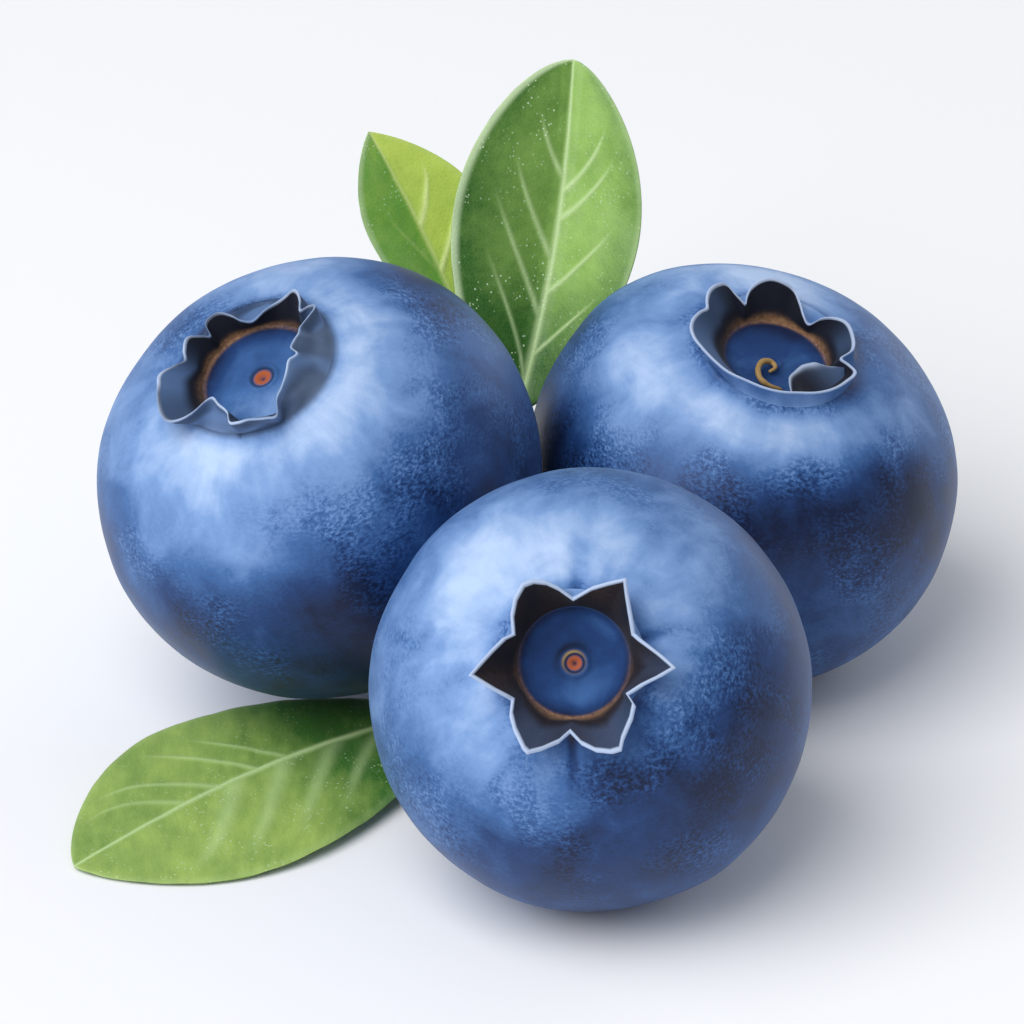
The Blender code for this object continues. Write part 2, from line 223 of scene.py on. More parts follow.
@dataclass(frozen=True)
class BerrySkin:
    """Ripe blueberry skin, grown: a dark blue waxy skin under a pale powdery bloom.

    The bloom makes the berry light blue and matt; where it is rubbed off, the skin is navy and satin.
    The bloom level also carries painted light and painted shade: lighter where light falls, darker on the
    shaded sides.
    The dried calyx is near black inside, its own dark colour together with painted shade in its hollow,
    blue where its walls are painted as lit, with pale thin edges, and straw-coloured remains of the flower.
    """

    name: str = "blueberry_skin_with_wax_bloom"
    rubbed: str = "0a1a3c"
    thin: str = "1b3c70"
    middle: str = "3c649c"
    pale: str = "7496c8"
    powder: str = "adc4e6"
    # near black: the dried calyx's own colour together with painted shade in the crown's hollow
    calyx_dark: str = "060a1a"
    # the calyx's bloom blue, used where its walls are painted as lit
    calyx_blue: str = "4a648c"
    rust_dark: str = "523525"
    rust_pale: str = "a8805a"
    scar: str = "a4552f"
    straw: str = "b89a55"
    edge: str = "b3c3df"
    sheen: str = "cfe0ff"
    speckle_mm: float = 0.17
    mottle_mm: float = 2.1
    grit_mm: float = 0.07

    def build(self) -> bpy.types.Material:
        """Make the material."""
        material, add, shader = new_material(self.name, 0.5, 1.45)
        layers = {name: add("Attribute", out="Fac", attribute_name=name) for name in SKIN_LAYERS}
        place = add("Attribute", out="Vector", attribute_name="place")
        meridian = add("Attribute", out="Vector", attribute_name="meridian")
        flat_place = add("Mapping", {"Vector": place, "Scale": (1.0, 1.0, 1.7)})
        speckle = add("TexNoise", {"Vector": flat_place, "Scale": 1 / self.speckle_mm, "Detail": 3.0,
                                   "Roughness": 0.65, "Distortion": 0.3})
        mottle = add("TexNoise", {"Vector": place, "Scale": 1 / self.mottle_mm, "Detail": 5.0,
                                  "Roughness": 0.55, "Distortion": 0.4})
        grit = add("TexNoise", {"Vector": place, "Scale": 1 / self.grit_mm, "Detail": 1.0})
        streak = add("TexNoise", {"Vector": meridian, "Scale": 1.0, "Detail": 5.0, "Roughness": 0.6})
        # the bloom layer: the bloom's thickness together with painted light and painted shade
        level = layers["bloom"]
        for pattern, amount in ((mottle, 0.62), (grit, 0.06)):
            level = add("Math", {0: pattern, 1: amount, 2: level}, operation="MULTIPLY_ADD")
            level = add("Math", {0: level, 1: amount / 2}, operation="SUBTRACT")
        calm = add("Math", {0: 1.0, 1: layers["calm"]}, operation="SUBTRACT")
        streak = add("MapRange", {"Value": streak, "To Min": -0.12, "To Max": 0.12})
        level = add("Math", {0: streak, 1: calm, 2: level}, operation="MULTIPLY_ADD")
        # the grain shows in drifts where the bloom is half rubbed off
        drift = add("TexNoise", {"Vector": place, "Scale": 0.35, "Detail": 2.0})
        drift = add("MapRange", {"Value": drift, "From Min": 0.46, "From Max": 0.62,
                                 "To Min": 0.06, "To Max": 0.4})
        half_bare = add("MapRange", {"Value": level, "From Min": 0.72, "From Max": 0.45})
        grain = add("MapRange", {"Value": speckle, "From Min": 0.36, "From Max": 0.64,
                                 "To Min": -0.5, "To Max": 0.5})
        for part in (drift, half_bare, calm):
            grain = add("Math", {0: grain, 1: part}, operation="MULTIPLY")
        level = add("Math", {0: level, 1: grain}, operation="ADD", use_clamp=True)
        skin = add("ValToRGB", {"Fac": level}, stops=[
            (0.0, self.rubbed), (0.25, self.thin), (0.5, self.middle), (0.75, self.pale), (1.0, self.powder)])
        flecks = add("MapRange", {"Value": speckle, "From Min": 0.22, "From Max": 0.8})
        # the crown's inside: near black with painted shade, blue where it is painted as lit
        calyx, rusty = (add("Mix", {0: share, 6: linear(dark), 7: linear(light)}, out=2, data_type="RGBA")
                        for share, dark, light in ((layers["blue_inside"], self.calyx_dark, self.calyx_blue),
                                                   (flecks, self.rust_dark, self.rust_pale)))
        colour = skin
        for name, paint in (("inner", calyx), ("rust", rusty), ("scar", linear(self.scar)),
                            ("straw", linear(self.straw)), ("edge", linear(self.edge))):
            colour = add("Mix", {0: layers[name], 6: colour, 7: paint}, out=2, data_type="RGBA")
        matt = add("MapRange", {"Value": level, "To Min": 0.36, "To Max": 0.7})
        dry = add("Math", {0: layers["calm"], 1: 0.9}, operation="MULTIPLY")
        rough = add("Math", {0: matt, 1: dry}, operation="MAXIMUM")
        powder = level
        for pattern, height in ((speckle, 0.35), (grit, 0.3)):
            powder = add("Math", {0: pattern, 1: height, 2: powder}, operation="MULTIPLY_ADD")
        normal = add("Bump", {"Strength": 0.3, "Distance": 0.03 * MM, "Height": powder}, out="Normal")
        set_inputs(shader, {"Base Color": colour, "Roughness": rough, "Normal": normal,
                            "Specular IOR Level": 0.32, "Sheen Weight": 0.07, "Sheen Roughness": 0.45,
                            "Sheen Tint": linear(self.sheen)})
        return material


@dataclass(frozen=True)
class LeafBlade:
    """A young blueberry leaf, grown: thin, smooth, with pale veins and a pale margin on a fresh green blade.

    The wax on its upper face gives a soft satin light. Its green runs from the shaded to the sunny colour
    by the sun layer: painted shade and painted light.
    """

    name: str
    # painted shade and painted light: the blade's green where it is shaded and where it is lit
    shaded: str = "376a22"
    sunny: str = "92b958"
    vein: str = "bbd696"
    margin: str = "c3dba8"
    under: str = "84a568"
    speck: str = "cfe4bd"
    cell_mm: float = 0.17
    speck_mm: float = 0.21

    def build(self) -> bpy.types.Material:
        """Make the material."""
        material, add, shader = new_material(self.name, 0.42, 1.42)
        layers = {name: add("Attribute", out="Fac", attribute_name=name) for name in LEAF_LAYERS}
        place = add("Attribute", out="Vector", attribute_name="place")
        wash = add("TexNoise", {"Vector": place, "Scale": 0.45, "Detail": 3.0})
        fibre_place = add("Mapping", {"Vector": place, "Scale": (1.0, 0.3, 1.0)})
        fibre = add("TexNoise", {"Vector": fibre_place, "Scale": 2.6, "Detail": 4.0})
        cell = add("TexVoronoi", {"Vector": place, "Scale": 1 / self.cell_mm}, out="Distance",
                   feature="DISTANCE_TO_EDGE")
        # the sun layer paints light and shade across the blade
        level = layers["sun"]
        for pattern, amount in ((wash, 0.6), (fibre, 0.45)):
            level = add("Math", {0: pattern, 1: amount, 2: level}, operation="MULTIPLY_ADD")
            level = add("Math", {0: level, 1: amount / 2}, operation="SUBTRACT", use_clamp=True)
        net = add("MapRange", {"Value": cell, "From Min": 0.0, "From Max": 0.09, "To Min": 0.08,
                               "To Max": 0.0})
        veined = add("Math", {0: layers["vein"], 1: net}, operation="MAXIMUM")
        dots = add("TexVoronoi", {"Vector": place, "Scale": 1 / self.speck_mm}, out="Distance")
        dots = add("MapRange", {"Value": dots, "From Min": 0.14, "From Max": 0.24, "To Min": 1.0,
                                "To Max": 0.0})
        # the pale specks lie in clusters
        cluster = add("TexNoise", {"Vector": place, "Scale": 0.7, "Detail": 2.0})
        cluster = add("MapRange", {"Value": cluster, "From Min": 0.46, "From Max": 0.6})
        for part in (cluster, layers["dew"]):
            dots = add("Math", {0: dots, 1: part}, operation="MULTIPLY")
        colour = linear(self.shaded)
        for share, paint in ((level, self.sunny), (veined, self.vein), (layers["margin"], self.margin),
                             (layers["under"], self.under), (dots, self.speck)):
            colour = add("Mix", {0: share, 6: colour, 7: linear(paint)}, out=2, data_type="RGBA")
        rough = add("MapRange", {"Value": fibre, "From Min": 0.3, "From Max": 0.7, "To Min": 0.36,
                                 "To Max": 0.5})
        relief = add("Math", {0: cell, 1: 2.0, 2: fibre}, operation="MULTIPLY_ADD")
        normal = add("Bump", {"Strength": 0.18, "Distance": 0.04 * MM, "Height": relief}, out="Normal")
        set_inputs(shader, {"Base Color": colour, "Roughness": rough, "Normal": normal})
        return material


@dataclass(frozen=True)
class YoungStalk:
    """A green berry stalk, grown: smooth, flushed red on one side, with fine pale dots."""

    name: str = "green_berry_stalk"
    green: str = "86933c"
    flushed: str = "8a4a32"
    dot: str = "c4c283"

    def build(self) -> bpy.types.Material:
        """Make the material."""
        material, add, shader = new_material(self.name, 0.5, 1.42)
        place = add("Attribute", out="Vector", attribute_name="place")
        flush = add("TexNoise", {"Vector": place, "Scale": 0.6, "Detail": 3.0})
        flush = add("MapRange", {"Value": flush, "From Min": 0.42, "From Max": 0.6})
        dots = add("TexVoronoi", {"Vector": place, "Scale": 2.6}, out="Distance")
        dots = add("MapRange", {"Value": dots, "From Min": 0.1, "From Max": 0.2, "To Min": 0.7,
                                "To Max": 0.0})
        colour = linear(self.green)
        for share, paint in ((flush, self.flushed), (dots, self.dot)):
            colour = add("Mix", {0: share, 6: colour, 7: linear(paint)}, out=2, data_type="RGBA")
        fibre_place = add("Mapping", {"Vector": place, "Scale": (1.0, 1.0, 0.2)})
        fibre = add("TexNoise", {"Vector": fibre_place, "Scale": 5.0, "Detail": 3.0})
        normal = add("Bump", {"Strength": 0.5, "Distance": 0.05 * MM, "Height": fibre}, out="Normal")
        set_inputs(shader, {"Base Color": colour, "Normal": normal})
        return material


@dataclass(frozen=True)
class TwigBark:
    """Thin bark on last year's wood, grown: matt red-brown with grey flakes and pale lenticels.

    Fine cracks run lengthwise, and the cut end shows pale wood with a darker pith.
    """

    name: str = "blueberry_twig_bark"
    brown: str = "6b4630"
    grey: str = "8d8070"
    crack: str = "35231a"
    lenticel: str = "b39c7c"
    wood: str = "d8c69c"
    pith: str = "9c7d55"

    def build(self) -> bpy.types.Material:
        """Make the material."""
        material, add, shader = new_material(self.name, 0.72, 1.4)
        cut, pith = (add("Attribute", out="Fac", attribute_name=name) for name in WOOD_LAYERS)
        place = add("Attribute", out="Vector", attribute_name="place")
        long_place = add("Mapping", {"Vector": place, "Scale": (1.0, 1.0, 0.16)})
        fibre = add("TexNoise", {"Vector": long_place, "Scale": 4.0, "Detail": 5.0})
        flake = add("TexNoise", {"Vector": place, "Scale": 0.9, "Detail": 4.0})
        flake = add("MapRange", {"Value": flake, "From Min": 0.45, "From Max": 0.65})
        cracks = add("MapRange", {"Value": fibre, "From Min": 0.34, "From Max": 0.46,
                                  "To Min": 0.85, "To Max": 0.0})
        spot_place = add("Mapping", {"Vector": place, "Scale": (1.0, 1.0, 0.5)})
        spots = add("TexVoronoi", {"Vector": spot_place, "Scale": 1.6}, out="Distance")
        spots = add("MapRange", {"Value": spots, "From Min": 0.12, "From Max": 0.2, "To Min": 1.0,
                                 "To Max": 0.0})
        colour = linear(self.brown)
        for share, paint in ((flake, self.grey), (cracks, self.crack), (spots, self.lenticel),
                             (cut, self.wood), (pith, self.pith)):
            colour = add("Mix", {0: share, 6: colour, 7: linear(paint)}, out=2, data_type="RGBA")
        relief = add("Math", {0: spots, 1: 0.5, 2: fibre}, operation="MULTIPLY_ADD")
        normal = add("Bump", {"Strength": 0.7, "Distance": 0.08 * MM, "Height": relief}, out="Normal")
        set_inputs(shader, {"Base Color": colour, "Normal": normal})
        return material


@dataclass(frozen=True)
class PaleBoard:
    """The table's matt white board, painted: plain and pale, so that the sprig stands out."""

    name: str = "white_painted_board"
    colour: str = "f4f5f7"

    def build(self) -> bpy.types.Material:
        """Make the material."""
        material, _, shader = new_material(self.name, 0.8, 1.45)
        set_inputs(shader, {"Base Color": linear(self.colour)})
        return material


# ---- pieces ----------------------------------------------------------------
def wrap_grid(name: str, around: int, along: int, place: Callable[[float, float], Vector],
              layers: Layers) -> bpy.types.Mesh:
    """Wrap a grid round its middle into a closed shape.

    Args:
        name: the mesh's name.
        around: faces round the section.
        along: faces along the shape.
        place: gives a point in mm for shares round and along; both ends come to a point.
        layers: named values by the same shares, kept on the mesh for its material.

    Returns:
        The mesh in mm, closed, with its faces outwards.
    """
    bm = bmesh.new()
    bmesh.ops.create_grid(bm, x_segments=around, y_segments=along, size=0.5)
    values = {key: bm.verts.layers.float.new(key) for key in layers}
    spot = bm.verts.layers.float_vector.new("place")
    for vertex in bm.verts:
        turn, share = vertex.co.x + 0.5, vertex.co.y + 0.5
        for key, layer in values.items():
            vertex[layer] = layers[key](turn, share)
        vertex.co = place(turn, share)
        vertex[spot] = vertex.co
    return mesh_from(name, sewn(bm))


def sewn(bm: bmesh.types.BMesh) -> bmesh.types.BMesh:
    """Merge the vertices that meet and turn the faces outwards."""
    bmesh.ops.remove_doubles(bm, verts=bm.verts, dist=SEAM)
    bmesh.ops.recalc_face_normals(bm, faces=bm.faces)
    return bm


def even_layers(names: tuple[str, ...], **levels: float) -> Layers:
    """Layers with one value all over a shape, which is 0 where none is given."""
    return {name: lambda turn, share, level=levels.get(name, 0.0): level for name in names}


def box_of(mesh: bpy.types.Mesh) -> tuple[Vector, Vector]:
    """Lowest and highest corner of a mesh."""
    columns = list(zip(*(vertex.co for vertex in mesh.vertices)))
    return Vector([min(column) for column in columns]), Vector([max(column) for column in columns])


def seat(mesh: bpy.types.Mesh, node: str) -> None:
    """Move a mesh in mm so that its box stands where a node's box stands.

    Args:
        mesh: the mesh, still in mm.
        node: the CAD node that it stands for.
    """
    low, high = box_of(mesh)
    node_low, node_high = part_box(node)
    shift = (node_low + node_high) / (2 * MM) - (low + high) / 2
    shift.z = node_low.z / MM - low.z
    mesh.transform(Matrix.Translation(shift))


def finish_piece(name: str, mesh: bpy.types.Mesh, material: bpy.types.Material, node: str) -> None:
    """Turn a mesh in mm into a piece of the sprig, at the origin.

    Args:
        name: the piece's name.
        mesh: its mesh, in mm and in place.
        material: its finish.
        node: the CAD node that it stands for.
    """
    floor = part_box(node)[0].z / MM
    for vertex in mesh.vertices:
        vertex.co.z = max(vertex.co.z, floor)
    mesh.transform(Matrix.Scale(MM, 4))
    mesh.shade_smooth()
    mesh.materials.append(material)
    piece = add_object(name, mesh)
    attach(piece, BODY)
    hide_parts(node)
    LOG.info("%s: %d faces", name, len(mesh.polygons))


def join_meshes(name: str, meshes: list[bpy.types.Mesh]) -> bpy.types.Mesh:
    """Put several meshes in mm into one.

    Args:
        name: of the new mesh.
        meshes: which are used up.

    Returns:
        The one mesh.
    """
    bm = bmesh.new()
    for mesh in meshes:
        bm.from_mesh(mesh)
        bpy.data.meshes.remove(mesh)
    return mesh_from(name, bm)


class Zone(Enum):
    """The stretches of a berry's section, from the middle of its crown to its stem end, and their rings."""

    DISC = 40
    INSIDE = 24
    LIP = 6
    OUTSIDE = 22
    BODY = 84
    DIMPLE = 8


class RimLine(Enum):
    """How the crown's edge runs between its named points."""

    STRAIGHT = "straight"
    SMOOTH = "smooth"


@dataclass(frozen=True)
class Patch:
    """A soft patch, as seen from the front, that raises or lowers the bloom: the bloom's own unevenness
    together with painted light and painted shade.
    """

    right: float  # shares of the berry's radius from its middle
    up: float
    width: float
    height: float
    tilt: float  # degrees, anticlockwise
    # gain raises or lowers the bloom level: partly the bloom's own unevenness, partly painted light and
    # painted shade
    gain: float  # of bloom


@dataclass(frozen=True)
class Sector:
    """Something that is strongest towards one side of the crown."""

    angle: float  # degrees, anticlockwise as seen from outside
    spread: float  # degrees
    amount: float

    def at(self, angle: float) -> float:
        """How strong it is at an angle in degrees."""
        gap = (angle - self.angle + 180.0) % 360.0 - 180.0
        return self.amount * math.exp(-(gap / self.spread) ** 2)


@dataclass
class Calyx:
    """The dried crown: its edge, its disc and the flower's scar."""

    foot: float  # radius of the crown's foot
    disc: float
    rim: list[Point]  # (angle, radius, height over the foot)
    rim_line: RimLine
    wall: float  # thickness at the edge
    # the blue sectors are the inner walls painted as lit; elsewhere the near black is the calyx's own colour
    # with painted shade
    blue: list[Sector]  # where the inner wall is blue instead of near black
    # the ring is the disc's rust; its sector also places painted shade on the disc next to it
    ring: Sector  # rusty ring where the disc meets the wall
    # painted light: the side of the disc painted lightest, where light falls on it
    lit_side: Sector  # where the disc is lightest
    disc_bloom: float
    # outer_dry also sets how dark the painted shade line round the crown's foot is
    outer_dry: float  # how dry and grey the wall's outer side is
    brown: float = 0.0  # of the dark inner wall
    creases: list[Sector] = field(default_factory=list)  # short grooves in the skin outside the foot
    core: float = 0.0  # radius of the scar's orange core
    halo: float = 0.0  # strength of the straw ring and the dark halo round the scar
    depth: float = 0.75  # of the disc under the foot

    def rim_at(self, angle: float) -> tuple[float, float]:
        """Radius and height of the crown's edge.

        Args:
            angle: in degrees, anticlockwise as seen from outside.

        Returns:
            The radius from the berry's axis and the height over the crown's foot, in mm.
        """
        for index, start in enumerate(self.rim):
            end = self.rim[(index + 1) % len(self.rim)]
            span = (end[0] - start[0]) % 360
            along = (angle - start[0]) % 360
            if along > span:
                continue
            if self.rim_line is RimLine.STRAIGHT:
                whole, first = math.radians(span), math.radians(along)
                radius = start[1] * end[1] * math.sin(whole) / (
                    start[1] * math.sin(first) + end[1] * math.sin(whole - first))
                return radius, mix(start[2], end[2], along / span)
            before, after = self.rim[index - 1], self.rim[(index + 2) % len(self.rim)]
            leading = (end[0] - before[0]) % 360 / span
            trailing = (after[0] - start[0]) % 360 / span
            t = along / span
            radius, height = (
                mix(start[k], end[k], ease(0.0, 1.0, t)) + t * (1.0 - t) * (
                    (1.0 - t) * (end[k] - before[k]) / leading - t * (after[k] - start[k]) / trailing)
                for k in (1, 2))
            return radius, height
        return self.rim[0][1], self.rim[0][2]

    def side_layers(self, inside: bool, share: float, angle: float) -> dict[str, float]:
        """Values of the skin's layers on the crown's wall.

        Args:
            inside: whether on the wall's inner side.
            share: along that side, away from the middle of the crown.
            angle: in degrees.

        Returns:
            The layers that differ from those of the plain skin.
        """
        streak = ring_noise(angle, 2.6, self.foot * 9.0 + share * 1.2)
        if not inside:
            # the outer wall is blotched blue and near black by noise: painted light and painted shade on its
            # crinkles, together with their relief
            return {"edge": 0.35 * self.rim_paleness(angle) * ease(0.05, 0.0, share), "inner": self.outer_dry,
                    "blue_inside": min(max(0.62 + 2.0 * streak, 0.25), 1.0)}
        # the inner wall: near black, the calyx's own colour together with painted shade in the hollow; blue
        # in the sectors painted as lit
        blue = min(sum(sector.at(angle) for sector in self.blue), 1.0)
        rust = self.brown * (0.7 + streak) * (1.0 - blue)
        return {"inner": 1.0, "blue_inside": blue * ease(0.3, 0.6, share),
                "rust": max(self.ring.at(angle) * bump_at(share, 0.03, 0.13), rust),
                "edge": 0.25 * self.rim_paleness(angle) * ease(0.97, 1.0, share)}

    def rim_paleness(self, angle: float) -> float:
        """How pale the crown's edge is at an angle in degrees: a drier crown's pale edge breaks off more."""
        worn = 0.4 - 1.5 * ring_noise(angle, 3.0, self.foot * 5.0)
        return 1.0 - self.outer_dry * min(max(worn, 0.0), 0.85)

    def disc_layers(self, radius: float, angle: float) -> dict[str, float]:
        """Values of the skin's layers on the disc, at a radius in mm and an angle in degrees."""
        share = radius / self.disc
        upper_left = 0.12 + Sector(120, 75, 0.88).at(angle)
        # painted light towards the lit side; painted shade next to the rusty ring and round the disc's edge,
        # where the wall shades the disc
        shade = self.lit_side.at(angle) * share ** 0.5 + self.disc_bloom
        shade *= 1.0 - 0.85 * self.ring.at(angle) * ease(0.6, 0.95, share)
        shade *= ease(1.06, 0.82, share)
        core = ease(self.core, self.core * 0.8, radius) if self.core else 0.0
        dark = max(0.8 * bump_at(radius, self.core + 0.05, 0.06), 0.9 * bump_at(radius, 0.0, 0.1),
                   0.85 * self.halo * upper_left * bump_at(radius, self.core + 0.36,
                                                           0.16)) if self.core else 0.0
        return {"bloom": shade, "inner": dark,
                "scar": core * (1.0 - bump_at(radius, 0.0, 0.09)),
                "straw": self.halo * upper_left * bump_at(radius, self.core + 0.13, 0.035),
                "rust": self.ring.at(angle) * ease(0.93, 0.99, share)}


@dataclass
class Tongue:
    """A dry lobe that is folded over the disc."""

    root: list[Point]  # along the wall: x, y and height over the foot
    edge: list[Point]  # the free edge, between the same two ends
    thick: float = 0.09

    def place(self, turn: float, share: float) -> Vector:
        """Point of the tongue's surface for shares round its section and along it."""
        out = 1.0 - abs(1.0 - 2.0 * turn)
        root = curve_through([Vector(point) for point in self.root], share)
        edge = curve_through([Vector(point) for point in self.edge], share)
        spot = root.lerp(edge, out)
        spot.y += 0.12 * out * noise.noise(Vector((share * 7.0, 2.0, 0.0)))
        full = (1.0 - (2.0 * out - 1.0) ** 8) ** 0.5 * ease(0.0, 0.08, share) * ease(1.0, 0.92, share)
        spot.z += 0.12 * math.sin(math.pi * out) + math.copysign(self.thick / 2 * full, 0.5 - turn)
        return spot

    def mesh(self) -> bpy.types.Mesh:
        """Make the tongue in the berry's own frame, with the height counted from the crown's foot."""
        layers = even_layers(SKIN_LAYERS, inner=1.0)
        layers["blue_inside"] = lambda turn, share: 0.55 * ease(0.3, 0.8, share)
        layers["edge"] = lambda turn, share: bump_at(turn, 0.5, mix(0.045, 0.09, ease(0.3, 0.6, share)))
        return wrap_grid("tongue", 48, 60, self.place, layers)


@dataclass
class DryStyle:
    """The dried style of the flower, a thin curled stalk on the disc."""

    path: list[Point]  # x, y and height over the foot
    radius: float = 0.12

    def place(self, turn: float, share: float) -> Vector:
        """Point of its surface for shares round it and along it."""
        points = [Vector(point) for point in self.path]
        along = (curve_through(points, share + 0.01) - curve_through(points, share - 0.01)).normalized()
        side = along.cross(Vector((0.0, 0.0, 1.0))).normalized()
        radius = self.radius * math.sin(math.pi * min(max(share, 0.0), 1.0)) ** 0.3
        radius *= 1.0 + 0.2 * noise.noise(Vector((share * 9.0, turn, 0.5)))
        angle = math.tau * turn
        return curve_through(points, share) + (side * math.cos(angle) + side.cross(along)
                                               * math.sin(angle)) * radius

    def mesh(self) -> bpy.types.Mesh:
        """Make the style in the berry's own frame, with the height counted from the crown's foot."""
        return wrap_grid("style", 24, 80, self.place, even_layers(SKIN_LAYERS, straw=0.45, rust=0.9,
                                                                  inner=1.0))


@dataclass
class Berry:
    """One fruit: an oblate body, its calyx crown and disc, and the dimple at its stem end."""

    node: str
    radius: float
    polar: float  # height over width
    fullness: float  # exponent of the side's curve: 2 is an ellipse
    axis: Point
    calyx: Calyx
    patches: list[Patch]
    bloom: float = 0.5  # away from the patches
    extras: list[Tongue | DryStyle] = field(default_factory=list)
    press_to: Point = (0.0, 1.0, 0.0)
    press: float = 0.0
    scar_shift: float = 0.0
    shift_to: Point = (0.0, 1.0, 0.0)
    dimple_radius: float = 0.85
    dimple_depth: float = 0.35
    rest_flat: float = 0.04
    steps: int = 360
    rim: list[tuple[float, float]] = field(default_factory=list)

    def __post_init__(self) -> None:
        """Work out the edge of the crown at each step round the berry."""
        self.rim = [self.calyx.rim_at(360.0 * step / self.steps) for step in range(self.steps)]

    def skin_height(self, radius: float) -> float:
        """Height of the plain skin over the berry's middle, at a distance from its axis."""
        share = (radius / self.radius) ** self.fullness
        return self.polar * self.radius * (1.0 - share) ** (1.0 / self.fullness)

    def turn(self) -> Matrix:
        """Rotation that takes +Z to the berry's axis and keeps its +X level."""
        up = Vector(self.axis).normalized()
        across = (RIGHTWARD - up * up.x).normalized()
        return Matrix((across, up.cross(across), up)).transposed()

    def section_point(self, zone: Zone, share: float, step: int) -> tuple[float, float]:
        """Radius and height of a point of the section.

        Args:
            zone: the stretch of the section.
            share: from 0 to 1 along the stretch, away from the middle of the crown.
            step: round the berry.

        Returns:
            Radius from the axis and height over the berry's middle.
        """
        calyx = self.calyx
        foot_height = self.skin_height(calyx.foot)
        disc_height = foot_height - calyx.depth
        if zone is Zone.DISC:
            radius = calyx.disc * share
            dish = 0.05 * (1.0 - share) + 0.24 * share ** 5
            scar = 0.08 * bump_at(radius, calyx.core + 0.2, 0.1) - 0.14 * bump_at(radius, 0.0, 0.15)
            return radius, disc_height + dish + scar
        if zone in (Zone.BODY, Zone.DIMPLE):
            power = 2.0 / self.fullness
            start = math.asin((calyx.foot / self.radius) ** (1.0 / power))
            end = math.pi - math.asin((self.dimple_radius / self.radius) ** (1.0 / power))
            if zone is Zone.BODY:
                angle = mix(start, end, share)
                height = math.copysign(abs(math.cos(angle)) ** power, math.cos(angle))
                return self.radius * math.sin(angle) ** power, self.polar * self.radius * height
            depth = self.dimple_depth * ease(0.0, 0.75, share)
            return self.dimple_radius * (1.0 - share), -self.skin_height(self.dimple_radius) + depth
        rim_radius, rim_height = self.rim[step]
        lean = Vector((rim_radius - calyx.foot, rim_height + 0.3)).normalized()
        outward = Vector((lean.y, -lean.x))
        rim = Vector((rim_radius, foot_height + rim_height))
        if zone is Zone.LIP:
            swing = math.pi * (share - 0.5)
            point = rim + (outward * math.sin(swing) + lean * math.cos(swing)) * calyx.wall / 2
            return point.x, point.y
        if zone is Zone.INSIDE:
            base = Vector((calyx.disc + 0.02, disc_height + 0.26))
            top = rim - outward * calyx.wall / 2
            return mix(base.x, top.x, share ** 1.25), mix(base.y, top.y, share ** 0.9)
        top = rim + outward * calyx.wall / 2
        up = 1.0 - share
        return mix(calyx.foot, top.x, up ** 0.95), mix(foot_height, top.y, up ** 1.35)

    def layer_values(self, zone: Zone, share: float, radius: float, angle: float,
                     outward: Vector) -> dict[str, float]:
        """What the skin's material needs to know at a point.

        Args:
            zone: the stretch of the section.
            share: along the stretch.
            radius: from the berry's axis.
            angle: round the berry, in radians.
            outward: direction from the berry's middle, in the sprig's frame.

        Returns:
            A value for each of the skin's layers.
        """
        values = dict.fromkeys(SKIN_LAYERS, 0.0)
        values["bloom"] = self.bloom_and_painted_light_at(outward)
        degrees = math.degrees(angle)
        if zone is Zone.DISC:
            values.update(self.calyx.disc_layers(radius, degrees))
        elif zone is Zone.INSIDE:
            values.update(self.calyx.side_layers(True, share, degrees))
        elif zone is Zone.LIP:
            values.update({"inner": 1.0 - share,
                           "edge": 0.9 * self.calyx.rim_paleness(degrees) * ease(1.1, 0.7, share)})
        elif zone is Zone.OUTSIDE:
            values.update(self.calyx.side_layers(False, share, degrees))
        elif zone is Zone.BODY:
            # painted shade: the bloom is darker right at the crown's foot and in the creases, and a dry
            # crown's foot gets a dark painted-shade line
            values["bloom"] -= 0.2 * ease(0.035, 0.0, share) + 0.5 * self.crease_at(share, angle)
            values["inner"] = 0.8 * self.calyx.outer_dry * ease(0.01, 0.0, share)
        values["calm"] = 0.0 if zone in (Zone.BODY, Zone.DIMPLE) else 1.0
        return values

    def crease_at(self, share: float, angle: float) -> float:
        """Depth, from 0 to 1, of the creases in the skin at a share of the body's section."""
        deep = sum(crease.at(math.degrees(angle)) for crease in self.calyx.creases)
        return deep * ease(0.13, 0.0, share)

    def bloom_and_painted_light_at(self, outward: Vector) -> float:
        """Bloom level in a direction from the berry's middle: its thickness with painted light and painted
        shade.
        """
        level = self.bloom
        facing = outward.dot(TO_FRONT)
        right, up = outward.dot(RIGHTWARD), outward.dot(UPWARD)
        # the patches are painted as seen from the front and fade out towards the back
        shown = ease(-0.25, 0.1, facing)
        for patch in self.patches:
            tilt = math.radians(patch.tilt)
            x, y = right - patch.right, up - patch.up
            along = (x * math.cos(tilt) + y * math.sin(tilt)) / patch.width
            across = (y * math.cos(tilt) - x * math.sin(tilt)) / patch.height
            level += patch.gain * shown * math.exp(-along * along - across * across)
        return level

    def build_mesh(self) -> bpy.types.Mesh:
        """Turn the section about its axis and shape it into the berry, in place, in mm."""
        bm = bmesh.new()
        stage = bm.verts.layers.float.new("stage")
        rings = [(index, ring / zone.value) for index, zone in enumerate(Zone) for ring in range(zone.value)]
        previous = None
        for index, share in [*rings, (len(Zone) - 1, 1.0)]:
            zone = list(Zone)[index]
            radius, height = self.section_point(zone, share, 0)
            vertex = bm.verts.new((radius, 0.0, height))
            vertex[stage] = index + share
            if previous:
                bm.edges.new((previous, vertex))
            previous = vertex
        bmesh.ops.spin(bm, geom=bm.verts[:] + bm.edges[:], axis=(0, 0, 1), cent=(0, 0, 0), angle=math.tau,
                       steps=self.steps, use_merge=True, use_duplicate=False)
        self.shape(sewn(bm), stage)
        return mesh_from(self.node, bm)

